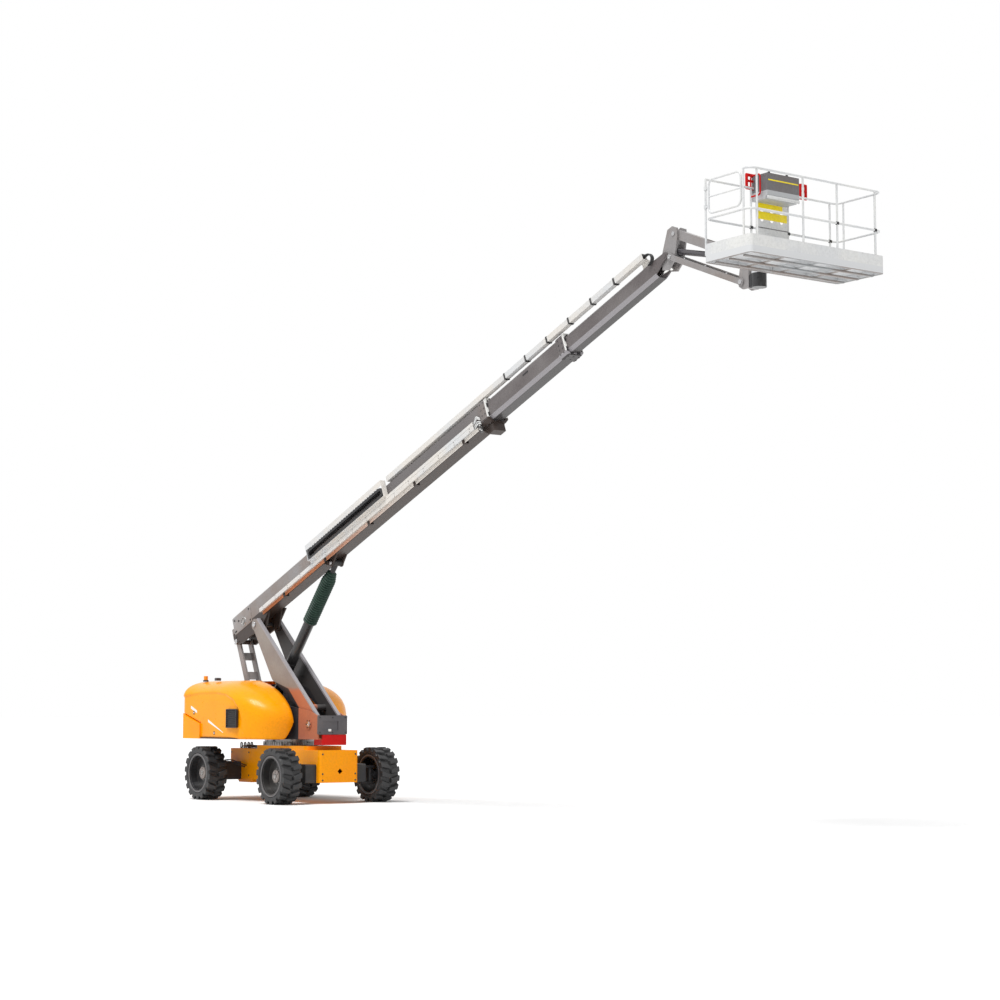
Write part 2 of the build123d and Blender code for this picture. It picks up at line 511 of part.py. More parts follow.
# Front cover with its recess, and the low cover of the slew drive
cover = box(DECK_NOSE, DECK_NOSE + 34, -315, 315, DRIVE_FRONT_TOP + 6, 1612)
cover = fillet(cover.edges().filter_by(Axis.X), 25)
cover = cover - box(DECK_NOSE + 20, DECK_NOSE + 40, -215, 120, 1340, 1510)
save("front_cover", cover)
drive = box(1210, 1470, -220, 300, 1066, DECK_Z0)
drive = fillet(drive.edges().filter_by(Axis.Z), 35)
drive = drive + box(1400, DECK_NOSE + 6, -220, 300, 1066, DECK_Z0 - 1)
front = box(DECK_NOSE + 1, DECK_NOSE + 30, -220, 300, 1066, DRIVE_FRONT_TOP)
drive = drive + fillet(front.edges().filter_by(Axis.X), 12)
save("slew_drive_cover", drive)

# Counterweight across the rear end, and the engine as one block
weight_side = [(HOOD_REAR + 80, HOOD_Z0), (HOOD_REAR, HOOD_Z0 + 100)] + [CREASE[0], CREASE[1], CREASE[2]]
weight = plate(weight_side, -HOOD_OUTER, HOOD_OUTER)
plan = hood_plan(0, HOOD_INNER - 400)
plan_solid = Pos(0, 0, 1100) * extrude(plan, amount=700, dir=(0, 0, 1))
weight = weight & (plan_solid + mirror(plan_solid, about=Plane.XZ))
save("counterweight", weight)
save("engine_block", box(-1300, -350, -1050, -450, DECK_Z1, 1950))

# Riser legs on the front pin, with the boom pin across their tops
RISER_A = (RISER_PIN_X, RISER_PIN_Z)
BOOM_B = (BOOM_PIN_X, BOOM_PIN_Z)
riser_len = ((BOOM_PIN_X - RISER_PIN_X) ** 2 + (BOOM_PIN_Z - RISER_PIN_Z) ** 2) ** 0.5
riser_frame = frame_between(RISER_A, BOOM_B)


def leg_face(inset):
    points = [(-RISER_FOOT_R * 0.4 + inset, -RISER_FOOT_RISE + inset), (riser_len, -RISER_HEAD_RISE + inset),
              (riser_len + RISER_HEAD_R * 0.8 - inset, RISER_HEAD_R * 0.6 - inset),
              (riser_len * RISER_ELBOW_AT, RISER_ELBOW_DROP - 1.2 * inset),
              (riser_len * RISER_NECK_AT, RISER_NECK_DROP - inset), (0, RISER_FOOT_R - inset)]
    return points


leg = plate(leg_face(0), RISER_IN, RISER_OUT) + cyl_y(0, 0, RISER_FOOT_R, RISER_IN, RISER_OUT)
leg = leg + cyl_y(riser_len, 0, RISER_HEAD_R, RISER_IN, RISER_OUT)
hollow = plate(leg_face(RISER_WALL), RISER_IN + RISER_WALL, RISER_OUT - RISER_WALL)
hollow = hollow & box(200, riser_len - 200, RISER_IN, RISER_OUT, -2 * RISER_FOOT_RISE, 2 * RISER_ELBOW_DROP)
leg, hollow = riser_frame * leg, riser_frame * hollow
leg = leg - hollow - cyl_y(RISER_PIN_X, RISER_PIN_Z, MAIN_PIN_R + PIN_FIT, RISER_IN - 1, RISER_OUT + 1)
riser = pair(leg)
riser = riser + cyl_y(BOOM_PIN_X, BOOM_PIN_Z, MAIN_PIN_R, -RISER_OUT - 8, RISER_OUT + 8)
cross = cyl_y(400, -60, 60, -RISER_IN - 2, RISER_IN + 2) - cyl_y(400, -60, 50, -RISER_IN + 10, RISER_IN - 10)
riser = riser + riser_frame * cross
save("riser_legs", riser)

# Rear link between the boom foot and the turntable
LINK_TOP = boom_point(LINK_PIN_E, LINK_PIN_N)
LINK_LOW = (LINK_FOOT_X, LINK_FOOT_Z)
link_len = ((LINK_TOP[0] - LINK_LOW[0]) ** 2 + (LINK_TOP[1] - LINK_LOW[1]) ** 2) ** 0.5
link_frame = frame_between(LINK_LOW, LINK_TOP)
link = bar_between(LINK_LOW, LINK_TOP, LINK_DEPTH, LINK_IN, LINK_OUT)
link = link - cyl_y(LINK_TOP[0], LINK_TOP[1], MAIN_PIN_R + PIN_FIT, LINK_IN - 1, LINK_OUT + 1)
link = link - cyl_y(LINK_LOW[0], LINK_LOW[1], 40, LINK_IN - 1, LINK_OUT + 1)
link = pair(link)
for t in (0.55, 0.78):
    link = link + link_frame * box(link_len * t, link_len * t + 160, -LINK_IN - 2, LINK_IN + 2, -8, 8)
save("rear_link", link)

# Boom base: tube, collar, foot plates, rod bracket and the wedge under its front end
base = octagon_tube(BASE_REAR, BASE_FRONT, BASE_W, BASE_H, BASE_W - 2 * BASE_WALL, BASE_H - 2 * BASE_WALL)
collar_w, collar_h = BASE_W + 2 * COLLAR_RISE, BASE_H + 2 * COLLAR_RISE
base = base + octagon_tube(BASE_FRONT - COLLAR_LEN, BASE_FRONT, collar_w, collar_h,
                           MID_W + 2 * SEAT_GAP, MID_H + 2 * SEAT_GAP)
base = base - octagon_bar(BASE_FRONT - COLLAR_LEN - 2, BASE_FRONT + 2, MID_W + 2 * SEAT_GAP, MID_H + 2 * SEAT_GAP,
                          CHAMFER_LOW, CHAMFER_TOP)
base_low = BOOM_AXIS_N - BASE_H / 2
FOOT_OUTLINE = [(-980, 100), (-980, 300), (250, 300), (550, base_low), (120, -100), (-100, -100),
                (-800, -90), (-980, 0)]
foot = plate(FOOT_OUTLINE, FOOT_IN, FOOT_OUT) - cyl_y(0, 0, MAIN_PIN_R + PIN_FIT, FOOT_IN - 1, FOOT_OUT + 1)
base = base + pair(foot)
base = base + cyl_y(LINK_PIN_E, LINK_PIN_N, MAIN_PIN_R, -FOOT_OUT - 4, FOOT_OUT + 4)
rod_cheek = plate([(LIFT_EYE_E - 240, base_low + 3), (LIFT_EYE_E - 62, LIFT_EYE_N - 30), (LIFT_EYE_E - 25, -20),
                   (LIFT_EYE_E + 25, -20), (LIFT_EYE_E + 62, LIFT_EYE_N - 30), (LIFT_EYE_E + 240, base_low + 3)], 90, 120)
rod_cheek = rod_cheek - cyl_y(LIFT_EYE_E, LIFT_EYE_N, LIFT_PIN_R + PIN_FIT, 80, 130)
base = base + pair(rod_cheek)
bracket = plate([(60, base_low + 3), (60, -90), (90, -150), (240, -150), (450, base_low + 3)], 125, 155)
bracket = bracket + plate([(60, base_low + 3), (60, 20), (450, base_low + 3)], 125, 165)
base = base + pair(bracket)
roller = cyl_y(160, -150, 38, 155, 185)
base = base + pair(roller)
wedge = plate([(8000, base_low + 3), (8180, base_low - 165), (8340, base_low - 165), (8340, base_low + 3)], -120, 120)
wedge = wedge - plate([(8060, base_low - 8), (8195, base_low - 150), (8325, base_low - 150), (8325, base_low - 8)], -108, 108)
base = base + wedge
bore_cut = BASE_WALL * 0.586
base = base - octagon_bar(BASE_REAR - 100, BASE_FRONT - COLLAR_LEN - 3, BASE_W - 2 * BASE_WALL, BASE_H - 2 * BASE_WALL,
                          CHAMFER_LOW - bore_cut, CHAMFER_TOP - bore_cut)
tail = octagon_bar(BASE_REAR, BASE_REAR + 10, BASE_W - 4, BASE_H - 4, CHAMFER_LOW - 2, CHAMFER_TOP - 2)
base = base + tail
save("boom_base", BOOM * base)

# White cable trays along the near side of the boom base, and the trough of the energy chain
tray_y1 = -BASE_W / 2
tray_y0 = tray_y1 - TRAY_OUT
shelf_n = TRAY_LOW_N + TRAY_LOW_H + TRAY_SEAM + TRAY_TOP_H
chain_n = shelf_n + TROUGH_T + CHAIN_R
rail_top = chain_n + CHAIN_R + CHAIN_RIB_H + TROUGH_RAIL_H
trough_y0 = tray_y1 - TROUGH_OUT


def channel(e0, n0, height):
    w = TRAY_WALL
    return box(e0, TRAY_END, tray_y0, tray_y1, n0, n0 + height) - box(e0 - 20, TRAY_END + 20, tray_y0 + w, tray_y1 - w,
                                                                      n0 + w, n0 + height - w)


low_channel = channel(TRAY_REAR, TRAY_LOW_N, TRAY_LOW_H)
top_channel = channel(TROUGH_REAR, TRAY_LOW_N + TRAY_LOW_H + TRAY_SEAM, TRAY_TOP_H)
trough = box(TROUGH_REAR, TROUGH_FRONT, trough_y0, tray_y1, shelf_n, shelf_n + TROUGH_T)
trough = trough + box(TROUGH_REAR, TROUGH_FRONT, trough_y0, trough_y0 + TROUGH_T, rail_top - TROUGH_RAIL_H, rail_top)
trough = trough + box(TROUGH_REAR, TROUGH_FRONT, trough_y0, tray_y1 - 12, rail_top - TROUGH_T, rail_top)
for e0 in (TROUGH_REAR, TROUGH_FRONT - TROUGH_T):
    trough = trough + box(e0, e0 + TROUGH_T, trough_y0, tray_y1 - 12, shelf_n, rail_top)
save("cable_tray", BOOM * fuse([low_channel, top_channel, trough]))


def chain_loop(radius):
    points = []
    for centre, start in ((CHAIN_REAR, 90), (CHAIN_FRONT, 270)):
        for i in range(CHAIN_BEND_LINKS + 1):
            angle = radians(start + 180 * i / CHAIN_BEND_LINKS)
            points.append((centre + radius * cos(angle), chain_n + radius * sin(angle)))
    return points


chain_y0, chain_y1 = trough_y0 + 6, tray_y1 - 16
chain = plate(chain_loop(CHAIN_R), chain_y0, chain_y1) - plate(chain_loop(CHAIN_BORE_R), chain_y0 - 10, chain_y1 + 10)
rib_pitch = (CHAIN_FRONT - CHAIN_REAR) / CHAIN_RIBS
for i in range(CHAIN_RIBS):
    e0 = CHAIN_REAR + rib_pitch * (i + 0.25)
    rib_n = chain_n + CHAIN_R - 2
    chain = chain + box(e0, e0 + rib_pitch / 2, chain_y0, chain_y1, rib_n, rib_n + CHAIN_RIB_H)
save("energy_chain", BOOM * chain)
pipes = []
for i in range(3):
    pipes.append(cyl_x(tray_y1 - 22, TRAY_LOW_N - PIPE_DROP - PIPE_PITCH * i, PIPE_R, 300, 8050))
pipe_set = fuse(pipes)
clamp_low = TRAY_LOW_N - PIPE_DROP - 2 * PIPE_PITCH - 14
boom_skin = octagon_bar(0, BASE_FRONT, BASE_W, BASE_H, CHAMFER_LOW, CHAMFER_TOP)
for i in range(CLAMPS):
    e0 = CLAMP_REAR + CLAMP_PITCH * i
    clamp = box(e0, e0 + 60, tray_y1 - 36, tray_y1 + CHAMFER_LOW, clamp_low, TRAY_LOW_N - 2)
    pipe_set = pipe_set + (clamp - boom_skin)
save("boom_pipes", BOOM * pipe_set)

# Lift cylinder between the turntable and the boom: barrel, rod and the guard round the rod
LIFT_EYE = boom_point(LIFT_EYE_E, LIFT_EYE_N)
lift_len = ((LIFT_EYE[0] - LINK_LOW[0]) ** 2 + (LIFT_EYE[1] - LINK_LOW[1]) ** 2) ** 0.5
lift_frame = frame_between(LINK_LOW, LIFT_EYE)
barrel = cyl_x(0, 0, BARREL_R, 60, BARREL_LEN)
barrel = barrel - cyl_x(0, 0, BARREL_BORE_R, 160, BARREL_LEN - GLAND_LEN)
barrel = barrel - cyl_x(0, 0, ROD_R + PIN_FIT, BARREL_LEN - GLAND_LEN - 1, BARREL_LEN + 1)
barrel = barrel + cyl_y(0, 0, BARREL_R, -95, 95) - cyl_y(0, 0, 46, -96, 96)
save("lift_barrel", lift_frame * barrel)
rod = cyl_x(0, 0, ROD_R, lift_len - ROD_LEN, lift_len - 40)
rod = rod + cyl_x(0, 0, BARREL_BORE_R - 0.1, lift_len - ROD_LEN, lift_len - ROD_LEN + 70)
rod = rod + cyl_y(lift_len, 0, LIFT_EYE_R, -84, 84) + cyl_y(lift_len, 0, LIFT_PIN_R, -128, 128)
save("lift_rod", lift_frame * rod)
guard_top = lift_len - GUARD_FROM_EYE
guard_low = guard_top - GUARD_LEN
w = GUARD_WALL
GUARD_PROFILE = [(guard_low, GUARD_LIP_R), (guard_low, GUARD_R), (guard_top - GUARD_TAPER, GUARD_R),
                 (guard_top, GUARD_END_R), (guard_top, ROD_R + SEAT_GAP), (guard_top - w, ROD_R + SEAT_GAP),
                 (guard_top - w, GUARD_END_R - w), (guard_top - GUARD_TAPER, GUARD_R - w),
                 (guard_low + w, GUARD_R - w), (guard_low + w, GUARD_LIP_R)]
guard = revolve(make_face(Polyline(*[(s, 0, r) for s, r in GUARD_PROFILE], close=True)), axis=Axis.X)
save("rod_guard", lift_frame * guard)

# Telescoping sections
mid_rear = MID_FRONT - MID_LEN
mid = octagon_tube(mid_rear, MID_FRONT, MID_W, MID_H, MID_W - 2 * MID_WALL, MID_H - 2 * MID_WALL)
mid = mid + octagon_tube(MID_FRONT - COLLAR_LEN, MID_FRONT, MID_W + 2 * COLLAR_RISE, MID_H + 2 * COLLAR_RISE,
                         TIP_W + 2 * SEAT_GAP, TIP_H + 2 * SEAT_GAP)
mid = mid - octagon_bar(MID_FRONT - COLLAR_LEN - 2, MID_FRONT + 2, TIP_W + 2 * SEAT_GAP, TIP_H + 2 * SEAT_GAP,
                        CHAMFER_LOW, CHAMFER_TOP)
pad_w, pad_h = BASE_W - 2 * BASE_WALL - 2 * SEAT_GAP, BASE_H - 2 * BASE_WALL - 2 * SEAT_GAP
mid = mid + octagon_tube(mid_rear, mid_rear + 120, pad_w, pad_h, MID_W - 2 * MID_WALL, MID_H - 2 * MID_WALL)
save("boom_section_2", BOOM * mid)
tip_rear = TIP_FRONT - TIP_LEN
tip = octagon_tube(tip_rear, TIP_FRONT, TIP_W, TIP_H, TIP_W - 2 * TIP_WALL, TIP_H - 2 * TIP_WALL)
pad_w, pad_h = MID_W - 2 * MID_WALL - 2 * SEAT_GAP, MID_H - 2 * MID_WALL - 2 * SEAT_GAP
tip = tip + octagon_tube(tip_rear, tip_rear + 120, pad_w, pad_h, TIP_W - 2 * TIP_WALL, TIP_H - 2 * TIP_WALL)
head = plate([(TIP_FRONT - HEAD_LEN, 250), (TIP_FRONT - HEAD_LEN, 440), (TIP_FRONT, 450), (KNUCKLE_E - 20, KNUCKLE_N + 56), (KNUCKLE_E, KNUCKLE_N),
              (KNUCKLE_E - 20, KNUCKLE_N - 56), (TIP_FRONT, 235)], LOW_ARM_IN, LOW_ARM_OUT)
head = head + cyl_y(KNUCKLE_E, KNUCKLE_N, 60, LOW_ARM_IN, LOW_ARM_OUT)
tip = tip + pair(head) + cyl_y(KNUCKLE_E, KNUCKLE_N, JIB_PIN_R, -LOW_ARM_OUT - 6, LOW_ARM_OUT + 6)
tip = tip + cyl_y(LEVEL_FOOT_E, LEVEL_FOOT_N, 20, -TIP_W / 2 + 2, TIP_W / 2 - 2)
save("boom_section_3", BOOM * tip)

# White hose carrier on the tip section
hose_end = TIP_FRONT - HOSE_END_BACK
hose_box = box(HOSE_REAR, hose_end, -190, -100, 565, 660) - box(HOSE_REAR - 10, hose_end + 10, -186, -104, 569, 656)
tip_top = BOOM_AXIS_N + TIP_H / 2
hose_box = hose_box + box(hose_end - 150, hose_end, -150, -60, 555, 566)
hose_box = hose_box + box(hose_end - 150, hose_end, -92, -60, tip_top, 556)
save("hose_carrier", BOOM * hose_box)

# Knuckle at the boom head
K = knuckle_point((0, 0))
KNUCKLE_OUTLINE = [(-80, -200), (-80, 60), (40, 400), (150, 440), (255, 400), (265, 250), (200, -85), (60, -220)]
at_knuckle = Pos(K[0], 0, K[1])
cheek = plate(KNUCKLE_OUTLINE, KNUCKLE_IN, KNUCKLE_OUT)
cheek = cheek - cyl_y(0, 0, JIB_PIN_R + PIN_FIT, KNUCKLE_IN - 1, KNUCKLE_OUT + 1)
cheek = cheek + cyl_y(LEVEL_PIN[0], LEVEL_PIN[1], 18, 46, KNUCKLE_OUT)
knuckle_part = pair(cheek)
knuckle_part = knuckle_part + box(-60, 40, -KNUCKLE_IN - 2, KNUCKLE_IN + 2, 95, 210)
for pin, reach in ((LOW_PIN, LOW_ARM_OUT + 6), (TOP_PIN, KNUCKLE_OUT + 6), (JIB_FOOT, KNUCKLE_OUT)):
    knuckle_part = knuckle_part + cyl_y(pin[0], pin[1], JIB_PIN_R, -reach, reach)
save("jib_knuckle", at_knuckle * knuckle_part)

# Levelling cylinder in the boom head
LEVEL_FOOT = boom_point(LEVEL_FOOT_E, LEVEL_FOOT_N)
LEVEL_EYE = knuckle_point(LEVEL_PIN)
level_len = ((LEVEL_EYE[0] - LEVEL_FOOT[0]) ** 2 + (LEVEL_EYE[1] - LEVEL_FOOT[1]) ** 2) ** 0.5
level_frame = frame_between(LEVEL_FOOT, LEVEL_EYE)
body = cyl_x(0, 0, LEVEL_BARREL_R, 20, LEVEL_BARREL_LEN) + cyl_y(0, 0, 42, -60, 60)
body = body - cyl_y(0, 0, 20 + PIN_FIT, -61, 61)
body = body - cyl_x(0, 0, LEVEL_ROD_R + PIN_FIT, 70, LEVEL_BARREL_LEN + 1)
save("level_barrel", level_frame * body)
stem = cyl_x(0, 0, LEVEL_ROD_R, level_len - LEVEL_ROD_LEN, level_len - 20) + cyl_y(level_len, 0, 36, -40, 40)
save("level_rod", level_frame * (stem - cyl_y(level_len, 0, 19, -41, 41)))

# Jib arms
L1, U1 = knuckle_point(LOW_PIN), knuckle_point(TOP_PIN)
L2, U2 = jib_end(L1), jib_end(U1)
low_arm = bar_between(L1, L2, LOW_ARM_DEPTH, LOW_ARM_IN, LOW_ARM_OUT)
for pin in (L1, L2):
    low_arm = low_arm + cyl_y(pin[0], pin[1], 55, LOW_ARM_IN, LOW_ARM_OUT)
for pin in (L1, L2):
    low_arm = low_arm - cyl_y(pin[0], pin[1], JIB_PIN_R + PIN_FIT, LOW_ARM_IN - 1, LOW_ARM_OUT + 1)
low_arms = pair(low_arm)
low_arms = low_arms + frame_between(L1, L2) * cyl_y(JIB_LEN * 0.85, 0, 25, -LOW_ARM_IN - 2, LOW_ARM_IN + 2)
save("jib_lower_arm", low_arms)
wall_in = TOP_ARM_HALF_W - TOP_ARM_WALL
top_arm = bar_between(U1, U2, TOP_ARM_DEPTH, wall_in, TOP_ARM_HALF_W)
for pin in (U1, U2):
    top_arm = top_arm - cyl_y(pin[0], pin[1], JIB_PIN_R + PIN_FIT, wall_in - 1, TOP_ARM_HALF_W + 1)
top_arms = pair(top_arm)
top_arms = top_arms + frame_between(U1, U2) * box(60, TOP_ARM_ROOF, -wall_in - 2, wall_in + 2,
                                                  TOP_ARM_DEPTH / 2 - TOP_ARM_WALL, TOP_ARM_DEPTH / 2)
save("jib_upper_arm", top_arms)

# Jib cylinder along the diagonal of the arms
J0 = knuckle_point(JIB_FOOT)
jib_cyl_len = ((U2[0] - J0[0]) ** 2 + (U2[1] - J0[1]) ** 2) ** 0.5
jib_frame = frame_between(J0, U2)
body = cyl_x(0, 0, JIB_BARREL_R, 20, JIB_BARREL_LEN) + cyl_y(0, 0, 46, -50, 50)
body = body - cyl_y(0, 0, JIB_PIN_R + PIN_FIT, -51, 51)
body = body - cyl_x(0, 0, JIB_ROD_R + PIN_FIT, 90, JIB_BARREL_LEN + 1)
save("jib_barrel", jib_frame * body)
stem = cyl_x(0, 0, JIB_ROD_R, jib_cyl_len - JIB_ROD_LEN, jib_cyl_len - 20) + cyl_y(jib_cyl_len, 0, 42, -40, 40)
save("jib_rod", jib_frame * (stem - cyl_y(jib_cyl_len, 0, 29, -41, 41)))

# Post at the jib's end with the platform rotator
at_post = Pos(L2[0], 0, L2[1])
POST_OUTLINE = [(-60, -60), (-60, 60), (0, 400), (115, 400), (150, 250), (150, -110), (20, -110)]
cheek = plate(POST_OUTLINE, KNUCKLE_IN, KNUCKLE_OUT)
top_dx, top_dz = TOP_PIN[0] - LOW_PIN[0], TOP_PIN[1] - LOW_PIN[1]
cheek = cheek + cyl_y(top_dx, top_dz, JIB_PIN_R, wall_in - 3, KNUCKLE_OUT + 6)
post = pair(cheek) + box(110, 150, -KNUCKLE_IN - 2, KNUCKLE_IN + 2, -110, 240)
post = post + cyl_y(0, 0, JIB_PIN_R, -LOW_ARM_OUT - 6, LOW_ARM_OUT + 6)
save("jib_post", at_post * post)
rotator = cyl_z(ROTATOR_X, 0, ROTATOR_R, ROTATOR_Z0, ROTATOR_Z1)
rotator = rotator + box(150, ROTATOR_X, -90, 90, ROTATOR_Z0 + 11, ROTATOR_Z1 - 14)
save("platform_rotator", at_post * rotator)

# Platform floor, and the arm that carries it on the rotator
floor = box(PLAT_REAR, PLAT_FRONT, -PLAT_HALF_W, PLAT_HALF_W, FLOOR_Z0, FLOOR_Z1)
floor = fillet(floor.edges().filter_by(Axis.Z), 60)
floor = floor - box(PLAT_REAR + 40, PLAT_FRONT - 40, -PLAT_HALF_W + 40, PLAT_HALF_W - 40, FLOOR_Z0 - 1, FLOOR_Z1 - 12)
for y in (-650, 0, 650):
    floor = floor + box(PLAT_REAR + 30, PLAT_FRONT - 30, y - 30, y + 30, FLOOR_Z0, FLOOR_Z1 - 11)
save("platform_floor", at_post * floor)
arm = cyl_z(ROTATOR_X, 0, ROTATOR_R, ROTATOR_Z1 + SEAT_GAP, ROTATOR_Z1 + ARM_T)
arm = arm + box(ROTATOR_X, PLAT_REAR - 5, -ARM_HALF_W, ARM_HALF_W, ROTATOR_Z1 + SEAT_GAP, ROTATOR_Z1 + ARM_T)
arm = arm + box(PLAT_REAR - ARM_FLANGE_T, PLAT_REAR, -ARM_HALF_W - 40, ARM_HALF_W + 40, FLOOR_Z0 + 6, FLOOR_Z1 - 4)
save("platform_arm", at_post * arm)

# Platform rails
rx0, rx1, ry = PLAT_REAR + RAIL_INSET, PLAT_FRONT - RAIL_INSET, PLAT_HALF_W - RAIL_INSET
top_path = [(rx0, -ry, TOP_RAIL_Z), (rx0, ry, TOP_RAIL_Z), (rx1, ry, TOP_RAIL_Z), (rx1, -ry, TOP_RAIL_Z),
            (GATE_POST_X, -ry, TOP_RAIL_Z)]
mid_path = [(x, y, MID_RAIL_Z) for x, y, z in top_path[:-1]] + [(rx0, -ry, MID_RAIL_Z)]
rails = tube_path(top_path, RAIL_BEND, RAIL_R) + tube_path(mid_path, RAIL_BEND, RAIL_R)
posts = [(rx0, y) for y in REAR_POSTS] + [(rx1, y) for y in FRONT_POSTS]
posts = posts + [(rx0 + 140, ry), (rx1 - 140, ry), (rx0, -ry), (GATE_POST_X, -ry)]
for x, y in posts:
    rails = rails + cyl_z(x, y, POST_R, FLOOR_Z1, TOP_RAIL_Z)
toe = box(PLAT_REAR, PLAT_FRONT, -PLAT_HALF_W, PLAT_HALF_W, FLOOR_Z1, FLOOR_Z1 + TOE_H)
toe = fillet(toe.edges().filter_by(Axis.Z), 60)
toe_in = box(PLAT_REAR + TOE_T, PLAT_FRONT - TOE_T, -PLAT_HALF_W + TOE_T, PLAT_HALF_W - TOE_T,
             FLOOR_Z1 - 1, FLOOR_Z1 + TOE_H + 1)
toe_in = fillet(toe_in.edges().filter_by(Axis.Z), 60 - TOE_T)
save("platform_rails", at_post * (rails + (toe - toe_in)))

# Gate on the near end
gate_mid_z = (MID_RAIL_Z + TOP_RAIL_Z) / 2 + 20
gate_w, gate_h = GATE_X1 - GATE_X0, TOP_RAIL_Z - MID_RAIL_Z - 90
loop = Plane.XZ * RectangleRounded(gate_w, gate_h, 90)
path = (Pos((GATE_X0 + GATE_X1) / 2, -ry, gate_mid_z) * loop).wire()
gate = sweep(Plane(origin=path @ 0, z_dir=path % 0) * Circle(GATE_TUBE_R), path=path)
gate = gate + cyl_x(-ry, gate_mid_z, 11, GATE_X0, GATE_X1)
for z in (gate_mid_z - 130, gate_mid_z + 130):
    gate = gate + cyl_z(rx0, -ry, POST_R + 9, z - 25, z + 25) + box(rx0, GATE_X0, -ry - 8, -ry + 8, z - 12, z + 12)
    gate = gate - cyl_z(rx0, -ry, POST_R + PIN_FIT, z - 26, z + 26)
save("platform_gate", at_post * gate)

# Control console on the rear rail, its panel, and the grab brackets beside it
console = box(CONSOLE_X0, CONSOLE_X1, CONSOLE_Y0, CONSOLE_Y1, CONSOLE_Z0, CONSOLE_Z1)
console = chamfer(console.edges().filter_by(Axis.Y).sort_by(Axis.X)[-1:], 60)
console = console - cyl_y(rx0, TOP_RAIL_Z, RAIL_R + SEAT_GAP, CONSOLE_Y0 - 1, CONSOLE_Y1 + 1)
save("control_console", at_post * console)
panel_x = rx0 + RAIL_R + SEAT_GAP
panel = box(panel_x, panel_x + 5, CONSOLE_Y0 + 20, CONSOLE_Y1 + 20, FLOOR_Z1 + 120, CONSOLE_Z0)
for y in (-230, -40, 150):
    for z in (330, 480, 800, 930):
        panel = panel - cyl_x(y, z, 32, panel_x - 1, panel_x + 6)
save("console_panel", at_post * panel)
handles = []
for y in (REAR_POSTS[1], REAR_POSTS[2]):
    grab_x = rx0 + GRAB_REACH
    route = [(rx0, y, TOP_RAIL_Z + RAIL_R + SEAT_GAP), (rx0, y, GRAB_Z1), (grab_x, y, GRAB_Z1), (grab_x, y, GRAB_Z0),
             (rx0 + POST_R + SEAT_GAP, y, GRAB_Z0)]
    handles.append(tube_path(route, GRAB_BEND, GRAB_R))
save("grab_brackets", at_post * Compound(children=handles))
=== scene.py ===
"""Looks of the telescopic boom lift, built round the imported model.

Every piece is in metres in the machine's frame: the origin is on the ground under the slew axis,
+X runs forward along the boom, +Y to the machine's left and +Z up.
"""
from __future__ import annotations

import json
import logging
import math
from dataclasses import dataclass
from enum import Enum

import bmesh
import bpy
import numpy as np
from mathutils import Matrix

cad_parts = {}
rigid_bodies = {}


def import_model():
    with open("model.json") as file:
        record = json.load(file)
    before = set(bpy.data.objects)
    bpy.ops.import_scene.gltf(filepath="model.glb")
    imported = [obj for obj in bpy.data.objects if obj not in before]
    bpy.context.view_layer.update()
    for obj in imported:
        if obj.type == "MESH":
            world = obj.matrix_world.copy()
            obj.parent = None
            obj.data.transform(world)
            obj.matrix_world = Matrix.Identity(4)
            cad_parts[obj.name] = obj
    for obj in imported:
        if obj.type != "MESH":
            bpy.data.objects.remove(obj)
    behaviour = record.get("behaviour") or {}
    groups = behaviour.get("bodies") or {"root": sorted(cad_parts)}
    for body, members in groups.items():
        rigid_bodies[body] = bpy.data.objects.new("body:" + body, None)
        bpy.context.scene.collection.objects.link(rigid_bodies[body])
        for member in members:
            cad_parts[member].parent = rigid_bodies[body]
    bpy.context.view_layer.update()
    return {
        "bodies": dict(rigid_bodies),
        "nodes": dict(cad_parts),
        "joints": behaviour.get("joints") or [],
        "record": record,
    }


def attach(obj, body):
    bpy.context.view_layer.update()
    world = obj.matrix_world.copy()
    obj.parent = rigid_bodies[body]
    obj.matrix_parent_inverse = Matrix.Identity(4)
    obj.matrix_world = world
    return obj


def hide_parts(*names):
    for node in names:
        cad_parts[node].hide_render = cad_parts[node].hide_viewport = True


LOG = logging.getLogger("boom_lift")
Array = np.ndarray
Shape = tuple[Array, Array]
Triple = tuple[float, float, float]
Span = tuple[float, float]
Pairs = tuple[Span, ...]
Socket = bpy.types.NodeSocket
Inputs = bpy.types.NodeOutputs
Thing = bpy.types.Object

UP, LEFT, RIGHT, FORWARD = (0, 0, 1), (0, 1, 0), (0, -1, 0), (1, 0, 0)
SIDES = (-1, 1)
BOLT = (0.011, 0.009)
SAME_POINT, NO_LENGTH = 2e-6, 1e-7

BOOM_ANGLE = 21.4
BOOM_PIN = np.array([-0.970, 0.0, 3.370])
RISER_PIN = np.array([1.180, 0.0, 1.450])
LINK_FOOT = np.array([-1.060, 0.0, 1.410])
JIB_ANGLE = -22.2
JIB_LEN = 1.690
WHEEL_X = 1.400
AXLE_Z = 0.510


